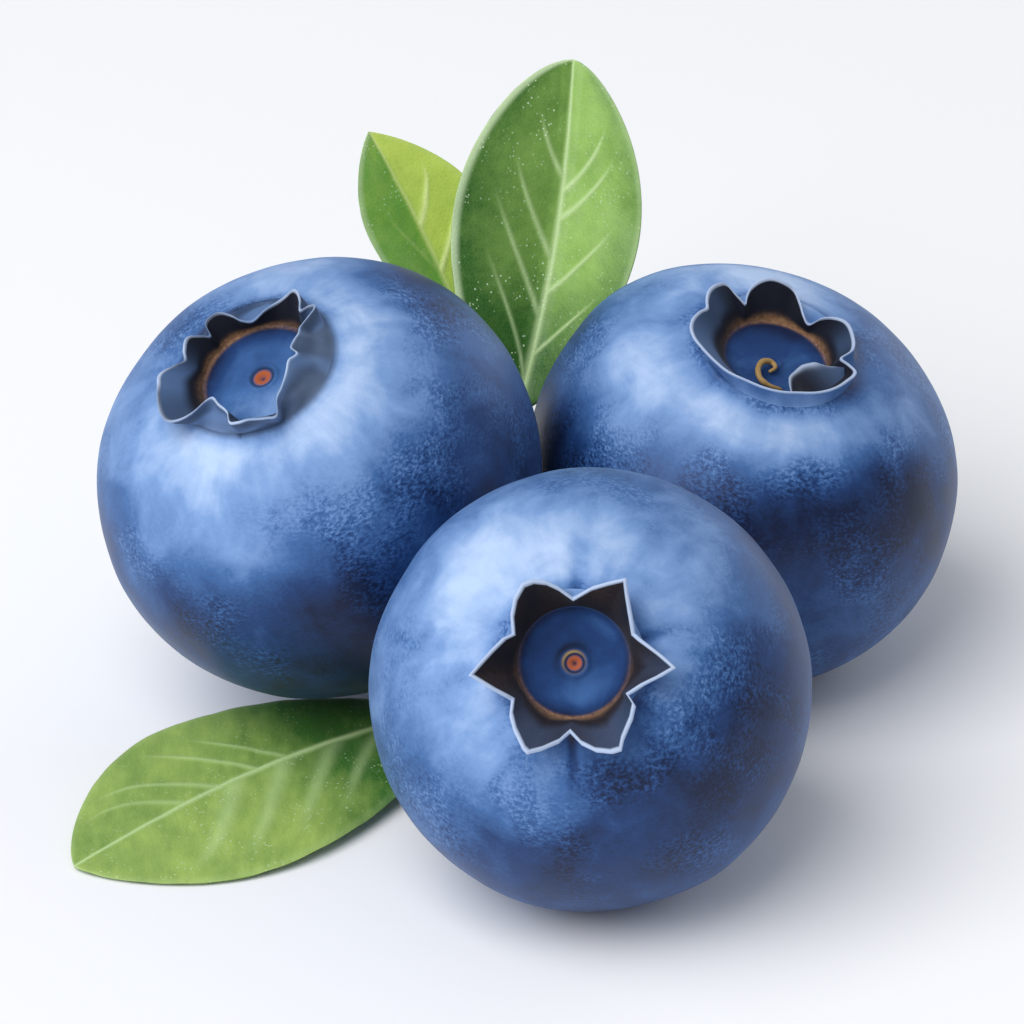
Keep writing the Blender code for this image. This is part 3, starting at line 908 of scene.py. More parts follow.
    def shape(self, bm: bmesh.types.BMesh, stage: object) -> None:
        """Move the turned vertices into the berry's shape and write what its material needs.

        Args:
            bm: the turned section.
            stage: the layer that says which zone a vertex is in, and how far along.
        """
        layers = {name: bm.verts.layers.float.new(name) for name in SKIN_LAYERS}
        place = bm.verts.layers.float_vector.new("place")
        meridian = bm.verts.layers.float_vector.new("meridian")
        turn = self.turn()
        own_place = Vector(self.axis) * PATTERN_GAP
        zones = list(Zone)
        spots = []
        for vertex in bm.verts:
            angle = math.atan2(vertex.co.y, vertex.co.x)
            step = round(angle / math.tau * self.steps) % self.steps
            index = min(int(vertex[stage] + 1e-5), len(zones) - 1)
            share = vertex[stage] - index
            radius, height = self.section_point(zones[index], share, step)
            spot = Vector((radius * math.cos(angle), radius * math.sin(angle), height))
            outward = turn @ spot.normalized()
            for name, value in self.layer_values(zones[index], share, radius, angle, outward).items():
                vertex[layers[name]] = value
            vertex[place] = spot + own_place
            vertex[meridian] = Vector((math.cos(angle) * 4.5, math.sin(angle) * 4.5,
                                       height * 0.18)) + own_place
            spots.append(self.settled(turn, self.swung(turn, self.dented(spot, zones[index], share, angle))))
        lowest = min(spot.z for spot in spots) + self.rest_flat
        for vertex, spot in zip(bm.verts, spots):
            vertex.co = Vector((spot.x, spot.y, max(spot.z, lowest)))

    def dented(self, spot: Vector, zone: Zone, share: float, angle: float) -> Vector:
        """Give the skin its soft unevenness and dents, and the side of a dry crown its crinkles."""
        if zone is Zone.OUTSIDE:
            crinkle = noise.noise(Vector((spot.x * 1.1, spot.y * 1.1, spot.z * 1.6)))
            return spot * (1.0 + 0.3 * self.calyx.outer_dry * crinkle * math.sin(math.pi * share)
                           / self.radius)
        if zone is not Zone.BODY:
            return spot
        swell = sum(noise.noise(spot * often) * height for often, height in SWELLS)
        step = round(angle / math.tau * self.steps) % self.steps
        notch = ease(0.9, 0.4, self.rim[step][1])
        swell -= 0.1 * notch * ease(0.1, 0.0, share) * ease(0.0, 0.015, share)
        swell -= 0.12 * self.crease_at(share, angle) * ease(0.0, 0.01, share)
        return spot * (1.0 + swell * ease(0.0, 0.03, share) * ease(1.0, 0.95, share) / self.radius)

    def swung(self, turn: Matrix, spot: Vector) -> Vector:
        """Swing the lower skin so that the stem dimple lies to one side, as the berry grew."""
        if spot.z >= 0 or not self.scar_shift:
            return spot
        towards = turn.transposed() @ Vector(self.shift_to).normalized()
        hinge = Vector((0, 0, -1)).cross(towards).normalized()
        share = ease(0.0, 1.0, -spot.z / (self.polar * self.radius))
        swung = Matrix.Rotation(math.radians(self.scar_shift) * share, 3, hinge) @ spot
        return swung * (self.reach(swung) / self.reach(spot))

    def reach(self, direction: Vector) -> float:
        """Distance from the berry's middle to its plain skin along a direction."""
        across = math.hypot(direction.x, direction.y) / self.radius
        along = abs(direction.z) / (self.polar * self.radius)
        return direction.length * (across ** self.fullness + along ** self.fullness) ** (-1.0 / self.fullness)

    def settled(self, turn: Matrix, spot: Vector) -> Vector:
        """Flatten the side that grew against a neighbour and turn the point into the sprig's frame."""
        towards = turn.transposed() @ Vector(self.press_to).normalized()
        reach = spot.dot(towards)
        if reach > 0:
            spot = spot - towards * reach * self.press * ease(0.0, 1.0, reach / self.radius)
        return turn @ spot

    def build(self, material: bpy.types.Material) -> None:
        """Make the berry's piece."""
        meshes = [self.build_mesh()]
        for extra in self.extras:
            mesh = extra.mesh()
            mesh.transform(self.turn().to_4x4() @ Matrix.Translation((0.0, 0.0,
                                                                      self.skin_height(self.calyx.foot))))
            meshes.append(mesh)
        mesh = join_meshes(self.node, meshes) if self.extras else meshes[0]
        seat(mesh, self.node)
        finish_piece(f"{self.node}_skin", mesh, material, self.node)


@dataclass
class SideVein:
    """One side vein of a leaf."""

    side: int  # -1 for the half to the left of the midrib, as seen on its face with the tip up
    start: float  # share of the blade's length where it leaves the midrib
    end: float  # share of the length where it fades
    reach: float  # share of the half width where it fades
    width: float = 0.14
    strength: float = 0.82


@dataclass
class Leaf:
    """One leaf: a blade folded along its midrib, with raised veins, on a short stalk."""

    node: str
    joint: Point
    base: Point
    tip: Point
    face: Point
    half_width: float
    fold: float
    arch: float
    bow: float
    uneven: float
    tip_power: float
    edge_power: float
    veins: list[SideVein]
    # painted light and shade: how lit each half is painted
    sun: tuple[float, float]  # how light the left and the right half are
    margin: tuple[float, float]  # how pale the left and the right margin are
    dew: tuple[float, float]  # how many pale specks the halves carry
    rib: float = 0.95  # how pale the midrib is
    rim_shade: float = 0.0  # how much darker the blade is towards its margins
    foot_shade: float = 0.35  # and towards its foot
    foot_reach: float = 0.5  # share of the length where that shade begins
    wave: float = 0.12  # of the margin, in mm
    wave_turns: float = 17.0  # radians of that wave along the blade
    ridge: float = 0.06  # height of the veins on the face, in mm
    under_ridge: float = 0.16  # and on the back
    flesh: float = 0.05  # unevenness between the veins
    thick: float = 0.26
    stalk_half: float = 0.35  # half width of the stalk
    stalk_flat: float = 0.85  # its thickness over its width
    stalk_share: float = 0.12  # of the rows
    stalk_steps: int = 64
    columns: int = 260
    rows: int = 230

    def half_width_at(self, along: float) -> float:
        """Half width of the blade at a share of its length."""
        return self.half_width * max(math.sin(math.pi * (1.0 - along) ** self.tip_power),
                                     0.0) ** self.edge_power

    def across_at(self, turn: float) -> float:
        """Place across the blade, from -1 to 1, for a share round its section: the upper face comes first."""
        half = turn * 2.0 if turn <= 0.5 else 2.0 - turn * 2.0
        return mix(2.0 * half - 1.0, -math.cos(math.pi * half), 0.35)

    def vein_at(self, along: float, across: float) -> float:
        """How much of a vein lies at a place of the blade, from 0 to 1."""
        length = (Vector(self.tip) - Vector(self.base)).length
        width = self.half_width_at(along)
        rib = mix(0.24, 0.06, max(along, 0.0) ** 0.7)
        level = self.rib * math.exp(-(across * width / rib) ** 2)
        for vein in self.veins:
            share = abs(across) / vein.reach
            if across * vein.side <= 0 or share > 1.0:
                continue
            course = mix(vein.start, vein.end, share ** 1.15)
            slope = math.atan2((vein.end - vein.start) * length, vein.reach * self.half_width)
            gap = abs(along - course) * length * math.cos(slope)
            level = max(level, vein.strength * math.exp(-(gap / (vein.width * mix(1.0, 0.5, share))) ** 2)
                        * ease(1.0, 0.55, share))
        return level

    def place(self, turn: float, share: float) -> Vector:
        """Point of the leaf's surface, in mm, for shares round its section and along it."""
        base, tip = Vector(self.base), Vector(self.tip)
        length = (tip - base).length
        forward = (tip - base).normalized()
        face = Vector(self.face)
        normal = (face - forward * face.dot(forward)).normalized()
        side = forward.cross(normal)
        upper = 1.0 if turn <= 0.5 else -1.0
        across = self.across_at(turn)
        bulge = math.sqrt(max(1.0 - across ** 2, 0.0))
        if share < self.stalk_share:
            joint = Vector(self.joint)
            reach = (base - joint).length
            path = interpolate_bezier(joint, joint + (base - joint) * 0.4, base - forward * reach * 0.4, base,
                                      self.stalk_steps + 1)
            spot = path[min(round(share / self.stalk_share * self.stalk_steps), self.stalk_steps)]
            radius = self.stalk_half * (1.0 if share > 0.004 else 0.0)
            return spot + side * radius * across + normal * upper * radius * self.stalk_flat * bulge
        along = (share - self.stalk_share) / (1.0 - self.stalk_share)
        width = max(self.half_width_at(along), self.stalk_half * (1.0 - along))
        width *= 1.0 + self.uneven * across
        hump = math.sin(math.pi * along)
        sideways = across * width * math.cos(self.fold) + self.bow * length * hump
        rise = abs(across) * width * math.sin(self.fold) + self.arch * hump
        rise -= 0.5 * min(abs(across) * width, 0.5) ** 2 * math.sin(self.fold)
        rise += self.wave * across ** 2 * math.sin(along * self.wave_turns + across * 2.0) * hump
        rim = (1.0 - abs(across) ** 6) ** 0.5
        half_thick = mix(self.stalk_half * self.stalk_flat, self.thick / 2,
                         ease(0.0, 0.12, along)) * mix(1.0, 0.35, along)
        vein = self.vein_at(along, across) * hump
        skin = upper * half_thick * (rim if along > 0.1 else mix(bulge, rim, along / 0.1))
        if upper > 0:
            skin += self.ridge * vein
            flesh = noise.noise(Vector((across * width * 0.9, along * length * 0.9, 3.0)))
            skin += self.flesh * (1.0 - vein) * flesh
        else:
            skin -= self.under_ridge * vein
        return base + forward * length * along + side * sideways + normal * (rise + skin)

    def layer(self, name: str, turn: float, share: float) -> float:
        """Value of one of the material's layers at a place of the leaf."""
        across = self.across_at(turn)
        along = (share - self.stalk_share) / (1.0 - self.stalk_share)
        under = 1.0 if turn > 0.5 else 0.0
        if name == "under":
            return 0.65 * under
        if name == "vein":
            return self.rib if along < 0 else self.vein_at(along, across) * (1.0 - 0.3 * under)
        left, right = {"sun": self.sun, "margin": self.margin, "dew": self.dew}[name]
        value = mix(left, right, ease(-0.12, 0.12, across))
        if name == "margin":
            inset = (1.0 - abs(across)) * self.half_width_at(max(along, 0.0))
            return value * ease(0.42, 0.12, inset) * (1.0 - under) * ease(0.0, 0.1, along)
        if name == "dew":
            return value * (1.0 - under) * ease(0.0, 0.1, along)
        return value - self.rim_shade * ease(0.45, 0.95, abs(across)) - self.foot_shade * ease(
            self.foot_reach, 0.1 * self.foot_reach, along)

    def build(self, material: bpy.types.Material) -> None:
        """Make the leaf's piece."""
        layers = {name: (lambda turn, share, name=name: self.layer(name, turn, share))
                  for name in LEAF_LAYERS}
        mesh = wrap_grid(self.node, self.columns, self.rows, self.place, layers)
        seat(mesh, self.node)
        finish_piece(f"{self.node}_blade", mesh, material, self.node)


@dataclass
class Stalk:
    """A round stalk along a Bezier route, with its own thickness from end to end."""

    name: str
    route: tuple[Point, ...]
    radii: list[tuple[float, float]]  # (share along, radius)
    cut_end: bool = False
    ripple: float = 0.04
    columns: int = 48
    rows: int = 120
    cap_radii: tuple[float, ...] = (0.0, 0.35, 0.7, 0.97)  # shares of the radius on the rounded ends
    points: list[Vector] = field(default_factory=list)

    def __post_init__(self) -> None:
        """Work out the middle line."""
        count = self.rows + 1 - 2 * len(self.cap_radii)
        self.points = interpolate_bezier(*(Vector(point) for point in self.route), count)

    def radius_at(self, share: float) -> float:
        """Radius at a share of the length."""
        for (start, first), (end, last) in zip(self.radii, self.radii[1:]):
            if share <= end:
                return mix(first, last, ease(start, end, share))
        return self.radii[-1][1]

    def place(self, turn: float, share: float) -> Vector:
        """Point of the surface for shares round the stalk and along it."""
        row, last = round(share * self.rows), len(self.points) - 1
        index = min(max(row - len(self.cap_radii), 0), last)
        along = (self.points[min(index + 1, last)] - self.points[max(index - 1, 0)]).normalized()
        side = along.cross(Vector((0.31, 0.2, 0.93))).normalized()
        across = along.cross(side)
        radius = self.radius_at(index / last)
        spot = self.points[index]
        from_end = min(row, self.rows - row)
        if from_end < len(self.cap_radii):
            radius *= self.cap_radii[from_end]
            spot = spot + along * (0.03 if index else -0.03)
        ring = side * math.cos(math.tau * turn) + across * math.sin(math.tau * turn)
        radius *= 1.0 + self.ripple * noise.noise((spot + ring * radius) * 1.1)
        return spot + ring * radius

    def cut(self, turn: float, share: float) -> float:
        """Whether the cut wood shows."""
        return 1.0 if self.cut_end and round(share * self.rows) > self.rows - len(self.cap_radii) else 0.0

    def pith(self, turn: float, share: float) -> float:
        """Whether the cut pith shows."""
        return 1.0 if self.cut_end and round(share * self.rows) > self.rows - 2 else 0.0

    def mesh(self) -> bpy.types.Mesh:
        """Make the closed stalk, in mm."""
        return wrap_grid(self.name, self.columns, self.rows, self.place, {"cut": self.cut, "pith": self.pith})


@dataclass
class Bud:
    """A pointed winter bud with overlapping scales."""

    foot: Point
    tip: Point
    radius: float
    scales: int = 7

    def place(self, turn: float, share: float) -> Vector:
        """Point of the surface for shares round the bud and along it."""
        foot, tip = Vector(self.foot), Vector(self.tip)
        length = (tip - foot).length + self.radius
        angle = math.tau * turn
        outline = math.sin(math.pi * share ** 0.8) ** 0.75
        scale = (share * 4.0 + turn * self.scales) % 1.0
        radius = self.radius * outline * (1.0 + 0.12 * (scale - 0.5))
        spot = Vector((radius * math.cos(angle), radius * math.sin(angle), length * share - self.radius))
        return foot + (tip - foot).to_track_quat("Z", "Y").to_matrix() @ spot

    def mesh(self) -> bpy.types.Mesh:
        """Make the bud, in mm."""
        return wrap_grid("bud", 42, 48, self.place, even_layers(WOOD_LAYERS))


@dataclass
class Twig:
    """The woody stem with its side shoot and two buds."""

    x_shift: float  # from the numbers below to the sprig's frame

    def stem(self) -> Stalk:
        """The main stem, swollen at its nodes, cut square at its far end."""
        return Stalk("twig_stem", ((1.04, -2.37, 1.2), (0.74, 4.53, 0.9), (-1.86, 11.53, 0.85),
                                   (-4.56, 21.03, 1.0)), [(0.0, 0.72), (0.04, 0.74), (0.3, 0.76), (0.4, 0.8),
                                                          (0.46, 0.92), (0.53, 0.82), (0.6, 0.98),
                                                          (0.68, 0.86), (0.76, 1.0), (0.84, 0.92),
                                                          (1.0, 1.0)], cut_end=True, ripple=0.16, columns=72,
                     rows=260)

    def shoot(self) -> Stalk:
        """The side shoot that carries the two upper leaves."""
        return Stalk("twig_shoot", ((-1.06, 9.33, 0.9), (-1.46, 10.53, 1.9), (-1.52, 11.28, 3.6),
                                    (-1.1, 11.2, 5.72)), [(0.0, 0.72), (0.45, 0.6), (0.78, 0.56),
                                                          (0.86, 0.64), (0.95, 0.56), (1.0, 0.48)],
                     ripple=0.1)

    def build(self, bark: bpy.types.Material) -> None:
        """Make the twig's piece."""
        meshes = [self.stem().mesh(), self.shoot().mesh(),
                  Bud((-0.96, 12.13, 1.4), (-0.46, 11.43, 3.2), 0.62).mesh(),
                  Bud((-3.66, 15.73, 1.3), (-4.56, 14.93, 2.7), 0.6).mesh()]
        mesh = join_meshes("twig", meshes)
        mesh.transform(Matrix.Translation((self.x_shift, 0.0, 0.0)))
        finish_piece("twig_wood", mesh, bark, "twig")


# ---- the sprig's own sizes -------------------------------------------------
X_SHIFT = -0.128  # mm from the numbers of the twig and the berry stalks to the sprig's frame

FRONT_RIM = [(352, 3.78, 1.2), (359, 3.25, 1.0), (14, 2.52, 0.6), (20, 2.38, 0.5), (34, 2.6, 0.8),
             (46, 2.97, 1.1), (53, 3.34, 1.3), (61, 2.95, 1.1), (72, 2.58, 0.85), (88, 2.13, 0.5),
             (100, 2.52, 0.8), (108, 2.8, 1.0), (116, 3.0, 1.15), (123, 3.05, 1.2), (133, 2.87, 1.0),
             (144, 2.6, 0.75), (157, 2.26, 0.5), (164, 2.5, 0.7), (177, 2.87, 1.0), (191, 3.6, 1.3),
             (202, 3.02, 1.0), (211, 2.68, 0.7), (215, 2.57, 0.5), (224, 2.97, 0.8), (233, 3.29, 1.0),
             (244, 3.72, 1.2), (247, 3.79, 1.2), (253, 3.5, 1.0), (262, 3.07, 0.7), (269, 2.65, 0.45),
             (277, 3.15, 0.8), (285, 3.54, 1.0), (293, 3.81, 1.15), (298, 3.88, 1.2), (302, 3.57, 1.1),
             (314, 3.15, 0.9), (322, 2.88, 0.7), (326, 2.43, 0.5), (338, 2.8, 0.8), (346, 3.3, 1.0), ]
LEFT_RIM = [
    (0, 1.95, 1.0), (6, 2.1, 1.0), (14, 2.15, 0.85), (20, 2.25, 0.8), (25, 2.7, 0.85), (29, 3.05, 0.85),
    (34, 3.1, 0.75), (38, 2.95, 0.65), (41, 2.65, 0.6), (45, 2.9, 0.8), (50, 3.1, 0.92), (56, 3.15, 0.85),
    (61, 2.98, 0.65), (70, 2.8, 0.35), (80, 2.45, 0.3), (94, 2.2, 0.1), (105, 2.3, 0.25), (111, 2.65, 0.35),
    (118, 3.0, 0.45), (125, 3.1, 0.45), (131, 3.0, 0.4), (136, 2.5, 0.3), (141, 2.85, 0.35), (148, 3.08, 0.6),
    (158, 3.0, 0.5), (166, 2.85, 0.4), (173, 3.1, 0.6), (180, 3.6, 0.75), (190, 3.7, 0.8), (200, 3.85, 0.8),
    (210, 4.0, 0.8), (218, 4.0, 0.85), (224, 3.7, 0.9), (228, 3.2, 0.9), (231, 2.6, 0.95), (236, 2.35, 1.0),
    (244, 2.5, 0.9), (254, 2.75, 0.8), (258, 3.2, 0.8), (264, 3.25, 0.8), (272, 3.2, 0.8), (284, 3.4, 0.8),
    (291, 3.5, 0.8), (296, 2.85, 0.85), (304, 2.6, 0.95), (318, 2.3, 1.1), (330, 2.1, 1.15), (340, 2.25, 1.1),
    (348, 1.9, 1.05),
]
RIGHT_RIM = [
    (5, 2.87, 0.45), (18, 3.0, 0.55), (30, 3.02, 0.6), (40, 2.85, 0.45), (47, 2.5, 0.3), (53, 2.15, 0.0),
    (64, 2.25, 0.2), (72, 2.7, 0.3), (79, 3.12, 0.42), (88, 3.2, 0.62), (97, 3.28, 0.65), (105, 3.2, 0.56),
    (113, 3.0, 0.4), (120, 2.65, 0.3), (124.5, 2.45, 0.25), (127, 2.75, 0.35), (129, 3.05, 0.45),
    (131, 3.3, 0.6), (135, 3.42, 0.75), (139, 3.45, 0.82), (144, 3.5, 0.85), (150, 3.5, 0.8),
    (156, 3.38, 0.68), (160, 3.25, 0.55), (166, 3.45, 0.55), (174, 3.68, 0.5), (182, 3.76, 0.5),
    (190, 3.68, 0.5), (198, 3.5, 0.5), (210, 3.3, 0.5), (223, 3.15, 0.5), (238, 2.92, 0.5), (252, 2.85, 0.5),
    (266, 2.8, 0.5), (282, 2.75, 0.5), (299, 2.85, 0.5), (311, 2.92, 0.5), (327, 3.0, 0.5), (340, 3.08, 0.5),
    (346, 2.75, 0.45), (352, 2.4, 0.4),
]


def front_berry() -> Berry:
    """The berry at the front, with its star-shaped crown towards the viewer."""
    calyx = Calyx(2.6, 2.04, FRONT_RIM, RimLine.STRAIGHT, 0.17,
                  [Sector(300, 30, 0.4), Sector(240, 22, 0.35), Sector(352, 10, 0.2)],
                  Sector(265, 80, 0.85), Sector(285, 70, 0.2), 0.26, 0.0, 0.07,
                  [Sector(269, 3, 0.8), Sector(17, 4, 0.6), Sector(326, 5, 0.4), Sector(88, 6, 0.5)],
                  core=0.29, halo=1.0)
    # bloom patches: partly the bloom's unevenness, partly painted light and painted shade
    patches = [
        Patch(-0.15, 0.68, 0.6, 0.24, 8, 0.45), Patch(-0.62, 0.38, 0.28, 0.38, -20, 0.35),
        Patch(0.4, 0.4, 0.28, 0.28, -20, 0.3), Patch(-0.5, -0.2, 0.18, 0.28, 0, 0.38),
        Patch(0.78, 0.0, 0.2, 0.42, -10, -0.36), Patch(0.42, -0.48, 0.46, 0.25, 15, -0.38),
        Patch(0.28, 0.75, 0.12, 0.1, 0, -0.2), Patch(-0.95, 0.35, 0.1, 0.2, 0, -0.15),
        Patch(-0.1, -0.75, 0.2, 0.15, 0, -0.15), Patch(-0.5, -0.72, 0.2, 0.12, 0, -0.15),
        Patch(0.15, -0.38, 0.15, 0.08, 0, -0.25), Patch(0.5, 0.15, 0.12, 0.14, 0, -0.15),
        Patch(-0.15, -0.5, 0.15, 0.2, 0, 0.08), Patch(0.0, -0.9, 0.7, 0.25, 0, -0.2),
        Patch(0.0, 1.0, 0.7, 0.1, 0, -0.1), Patch(-0.8, 0.7, 0.25, 0.15, 45, -0.3),
        Patch(0.75, 0.75, 0.35, 0.15, -45, -0.3), Patch(-0.95, 0.1, 0.12, 0.25, 0, 0.15),
        Patch(0.35, 0.0, 0.15, 0.3, 0, 0.12),
    ]
    return Berry("berry_front", 8.22, 0.9, 2.05, (-0.107, -0.779, 0.618), calyx, patches, bloom=0.46)


def left_berry() -> Berry:
    """The berry on the left, raised over the lying leaf, with a crinkled crown."""
    calyx = Calyx(3.15, 2.35, LEFT_RIM, RimLine.SMOOTH, 0.12,
                  [Sector(182, 18, 1.0), Sector(215, 25, 0.45), Sector(262, 25, 0.35), Sector(36, 7, 0.5)],
                  Sector(120, 80, 0.95), Sector(300, 100, 0.35), 0.32, 0.85, core=0.38)
    # bloom patches: partly the bloom's unevenness, partly painted light and painted shade
    patches = [
        Patch(-0.55, 0.12, 0.55, 0.34, -12, 0.42), Patch(0.12, 0.55, 0.36, 0.46, 0, 0.46),
        Patch(0.42, 0.9, 0.3, 0.14, -32, -0.42),
        Patch(0.8, 0.0, 0.3, 0.6, 10, -0.25), Patch(0.25, -0.62, 0.55, 0.4, 0, -0.5),
        Patch(-0.6, -0.65, 0.3, 0.2, 0, -0.32), Patch(-0.3, -0.33, 0.35, 0.16, 0, 0.24),
        Patch(-0.95, -0.25, 0.14, 0.35, 0, -0.25),
        Patch(0.5, -0.05, 0.25, 0.25, -20, -0.15), Patch(-0.55, 0.75, 0.2, 0.15, 30, -0.15),
        Patch(-0.3, 0.95, 0.35, 0.12, 20, 0.3), Patch(0.2, -0.95, 0.7, 0.15, 0, -0.2),
    ]
    return Berry("berry_left", 8.88, 0.87, 2.08, (-0.325, -0.395, 0.859), calyx, patches,
                 press_to=(0.965, 0.22, -0.11), press=0.03)


def right_berry() -> Berry:
    """The berry on the right, with a low crown near its top."""
    calyx = Calyx(3.05, 2.1, RIGHT_RIM, RimLine.SMOOTH, 0.12,
                  [Sector(195, 32, 0.9), Sector(240, 30, 0.4), Sector(150, 10, 0.25), Sector(14, 14, 0.35)],
                  Sector(75, 75, 1.0), Sector(330, 80, 0.15), 0.24, 0.1)
    # bloom patches: partly the bloom's unevenness, partly painted light and painted shade
    patches = [
        Patch(-0.48, 0.48, 0.3, 0.3, 20, 0.5), Patch(0.25, 0.2, 0.5, 0.19, 0, 0.5),
        Patch(0.85, 0.4, 0.15, 0.25, 0, 0.1), Patch(-0.92, 0.12, 0.2, 0.3, 0, -0.38),
        Patch(-0.12, 0.32, 0.14, 0.1, 0, 0.3), Patch(-0.8, 0.7, 0.2, 0.12, 40, -0.35),
        Patch(0.3, 0.92, 0.3, 0.1, -20, 0.3), Patch(0.75, -0.05, 0.2, 0.18, 0, -0.28),
        Patch(0.35, -0.25, 0.7, 0.26, 0, -0.38), Patch(-0.5, -0.3, 0.35, 0.35, 0, -0.25),
        Patch(0.0, 1.0, 0.9, 0.15, 0, 0.4), Patch(0.2, -0.9, 0.7, 0.2, 0, -0.1),
    ]
    extras = [Tongue([(0.4, -2.75, 0.2), (1.1, -2.7, 0.2), (1.9, -2.2, 0.2), (2.5, -1.4, 0.2),
                      (2.55, -0.7, 0.2)], [(0.4, -2.75, 0.2), (0.35, -1.4, 0.0), (1.0, -0.55, 0.05),
                                           (1.75, -0.45, 0.05), (2.55, -0.7, 0.2)]),
              DryStyle([(0.25, -1.5, -0.62), (-0.3, -1.5, -0.5), (-0.68, -1.3, -0.42), (-0.78, -0.85, -0.38),
                        (-0.6, -0.42, -0.36), (-0.24, -0.28, -0.4), (-0.05, -0.5, -0.46),
                        (-0.3, -0.72, -0.55)]), ]
    return Berry("berry_right", 8.93, 0.84, 2.1, (0.221, -0.31, 0.925), calyx, patches, bloom=0.42,
                 extras=extras, press_to=(-0.965, -0.22, 0.11), press=0.085, scar_shift=20.0,
                 shift_to=(-0.6, 0.8, 0.0))


def leaves() -> list[Leaf]:
    """The three leaves."""
    large = Leaf("leaf_upper_large", (-0.96, 11.13, 5.7), (-0.26, 11.33, 7.2), (2.05, 18.9, 19.6),
                 (-0.1, -1, 0.45), 4.35, 0.5, 0.0, 0.03, -0.08, 0.95, 0.66, [SideVein(-1, 0.08, 0.46, 0.72),
                                                                             SideVein(-1, 0.27, 0.63, 0.72),
                                                                             SideVein(-1, 0.44, 0.73, 0.6),
                                                                             SideVein(-1, 0.67, 0.85, 0.45),
                                                                             SideVein(1, 0.16, 0.36, 0.75),
                                                                             SideVein(1, 0.34, 0.55, 0.7),
                                                                             SideVein(1, 0.55, 0.74, 0.7),
                                                                             SideVein(1, 0.63, 0.83, 0.65)],
                 sun=(0.5, 0.84), margin=(1.0, 0.2), dew=(1.0, 0.35), rim_shade=0.4, foot_shade=0.85)
    small = Leaf("leaf_upper_small", (-1.66, 12.03, 4.9), (-1.2, 12.83, 6.2), (-6.25, 17.6, 17.0),
                 (0.66, -1, 0.45), 2.85, 0.3, 0.0, 0.036, 0.0, 0.66, 1.35,
                 [SideVein(1, 0.5, 0.72, 0.8, strength=0.85), SideVein(1, 0.66, 0.86, 0.7, strength=0.8),
                  SideVein(-1, 0.35, 0.6, 0.6, strength=0.2), SideVein(-1, 0.5, 0.78, 0.6, strength=0.2)],
                 sun=(0.06, 0.9), margin=(0.5, 0.1), dew=(0.6, 0.05), rib=0.5, foot_shade=0.6)
    lower = Leaf("leaf_lower", (-0.26, -0.47, 1.2), (-1.3, -1.15, 1.0), (-16.9, -12.6, 0.35),
                 (0.06, -0.06, 1), 5.0, 0.0, 0.35, 0.04, -0.1, 0.73, 1.0,
                 [SideVein(-1, 0.24, 0.5, 0.9, 0.4, 0.42), SideVein(-1, 0.36, 0.62, 0.9, 0.4, 0.42),
                  SideVein(-1, 0.48, 0.74, 0.9, 0.4, 0.42), SideVein(-1, 0.6, 0.85, 0.9, 0.4, 0.42),
                  SideVein(1, 0.47, 0.62, 0.8, strength=0.5), SideVein(1, 0.54, 0.73, 0.9, strength=0.55),
                  SideVein(1, 0.64, 0.89, 0.9, strength=0.5), SideVein(1, 0.72, 0.95, 0.85, strength=0.4)],
                 sun=(0.62, 0.52), margin=(0.1, 0.1), dew=(0.5, 0.3), foot_shade=1.4, foot_reach=0.62,
                 wave=0.05)
    return [large, small, lower]


def pedicels() -> list[Stalk]:
    """The three berry stalks, from the berries' stem dimples to the twig."""
    radii = [(0.0, 0.72), (0.06, 0.74), (0.3, 0.52), (0.68, 0.46), (0.88, 0.56), (1.0, 0.58)]
    routes = {
        "pedicel_front": ((2.65, -7.2, 3.1), (2.45, -5.8, 1.95), (2.14, -4.2, 1.3), (1.1, -2.05, 1.2)),
        "pedicel_left": ((-5.4, 3.65, 2.9), (-4.9, 4.2, 1.5), (-3.36, 5.13, 0.75), (-0.6, 4.75, 1.05)),
        "pedicel_right": ((5.6, 9.0, 1.7), (4.6, 9.9, 1.1), (2.44, 10.43, 0.8), (-0.35, 8.75, 1.1)),
    }
    return [Stalk(name, route, radii, ripple=0.08) for name, route in routes.items()]


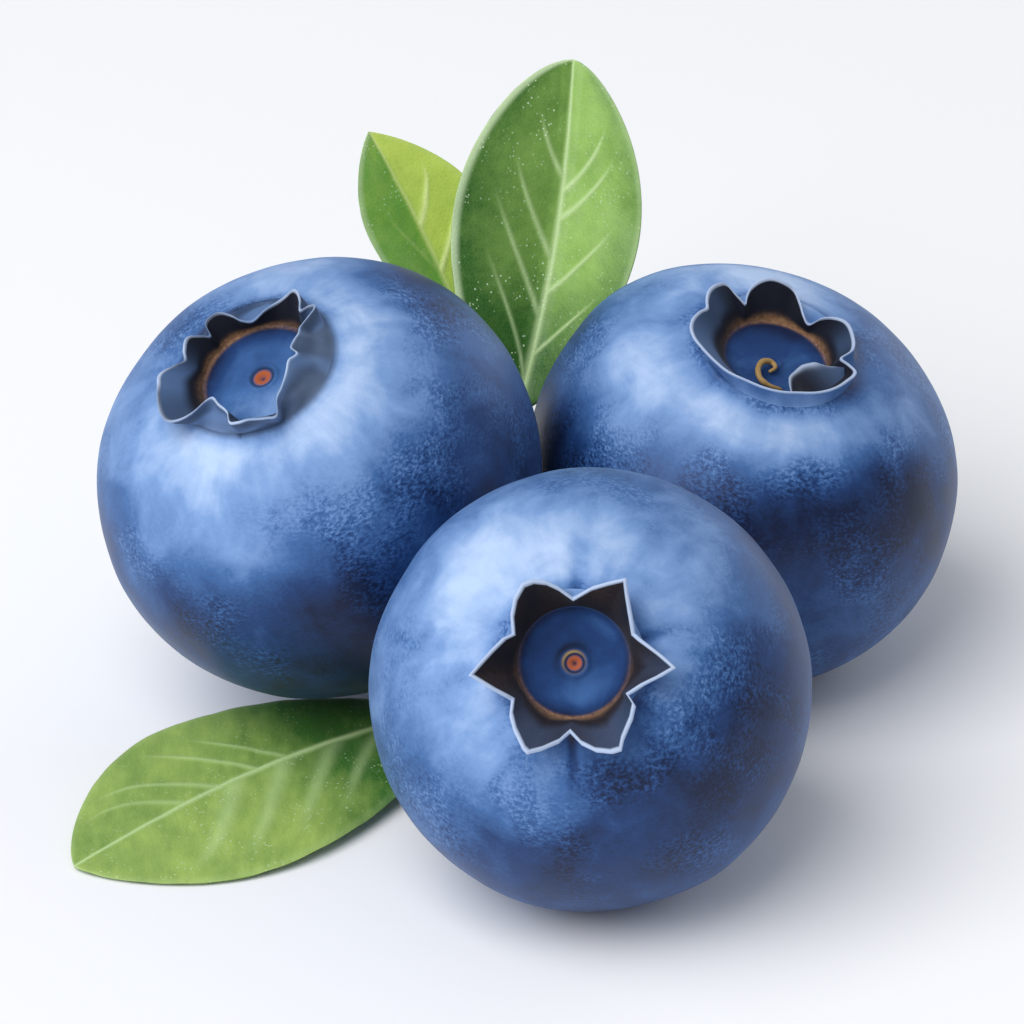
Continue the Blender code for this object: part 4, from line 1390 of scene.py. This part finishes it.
@dataclass
class Studio:
    """The pale table, the soft lights and the camera."""

    aim: Point = (-0.488, 0.53, 8.37)  # mm
    distance: float = 220.0  # mm
    lens: float = 197.8
    sensor: float = 36.0
    light_aim: Point = (0.0, 0.0, 0.008)
    table_half: float = 2.0
    sky: str = "f6f9ff"
    sky_strength: float = 0.38

    def floor(self) -> None:
        """Lay the table's board."""
        bm = bmesh.new()
        bmesh.ops.create_grid(bm, x_segments=1, y_segments=1, size=self.table_half)
        mesh = mesh_from("table", bm)
        mesh.materials.append(PaleBoard().build())
        add_object("table", mesh)

    def light(self, name: str, place: Point, size: float, power: float) -> None:
        """Hang a soft square light that looks at the sprig.

        Args:
            name: of the light.
            place: in metres.
            size: of its side, in metres.
            power: in watts.
        """
        data = bpy.data.lights.new(name, "AREA")
        data.shape = "SQUARE"
        data.size = size
        data.energy = power
        lamp = add_object(name, data)
        lamp.location = place
        lamp.rotation_euler = (Vector(self.light_aim) - Vector(place)).to_track_quat("-Z", "Y").to_euler()

    def camera(self) -> None:
        """Stand the camera in front, 28 degrees up."""
        data = bpy.data.cameras.new("camera")
        data.lens = self.lens
        data.sensor_width = self.sensor
        data.clip_start = 0.01
        data.clip_end = 20.0
        camera = add_object("camera", data)
        camera.location = (Vector(self.aim) + TO_FRONT * self.distance) * MM
        camera.rotation_euler = TO_FRONT.to_track_quat("Z", "Y").to_euler()
        bpy.context.scene.camera = camera

    def build(self) -> None:
        """Set up the studio."""
        scene = bpy.context.scene
        world = bpy.data.worlds.new("studio")
        world.use_nodes = True
        set_inputs(world.node_tree.nodes["Background"], {"Color": linear(self.sky),
                                                         "Strength": self.sky_strength})
        scene.world = world
        scene.view_settings.view_transform = "Standard"
        self.floor()
        self.light("key", (-0.24, -0.22, 0.4), 0.5, 3.0)
        self.light("back_rim", (0.3, 0.3, 0.14), 0.3, 0.4)
        self.camera()


def main() -> None:
    """Build the sprig and its studio."""
    logging.basicConfig(level=logging.INFO, format="%(name)s %(message)s")
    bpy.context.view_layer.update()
    skin = BerrySkin().build()
    for berry in (front_berry(), left_berry(), right_berry()):
        berry.build(skin)
    mature = LeafBlade("blueberry_leaf").build()
    # the small leaf's finish is lighter than the others: partly a young leaf's yellower green, partly painted
    # light where the large leaf and the left berry shade it
    young = LeafBlade("young_blueberry_leaf_with_painted_light", shaded="6ca640", sunny="bcd25a", vein="dbe89c").build()
    lying = LeafBlade("lying_blueberry_leaf", shaded="3c6d2c", sunny="b2cc68").build()
    for leaf, finish in zip(leaves(), (mature, young, lying)):
        leaf.build(finish)
    Twig(X_SHIFT).build(TwigBark().build())
    stalk_finish = YoungStalk().build()
    for pedicel in pedicels():
        mesh = pedicel.mesh()
        mesh.transform(Matrix.Translation((X_SHIFT, 0.0, 0.0)))
        finish_piece(f"{pedicel.name}_skin", mesh, stalk_finish, pedicel.name)
    Studio().build()


if __name__ == "__main__":
    main()
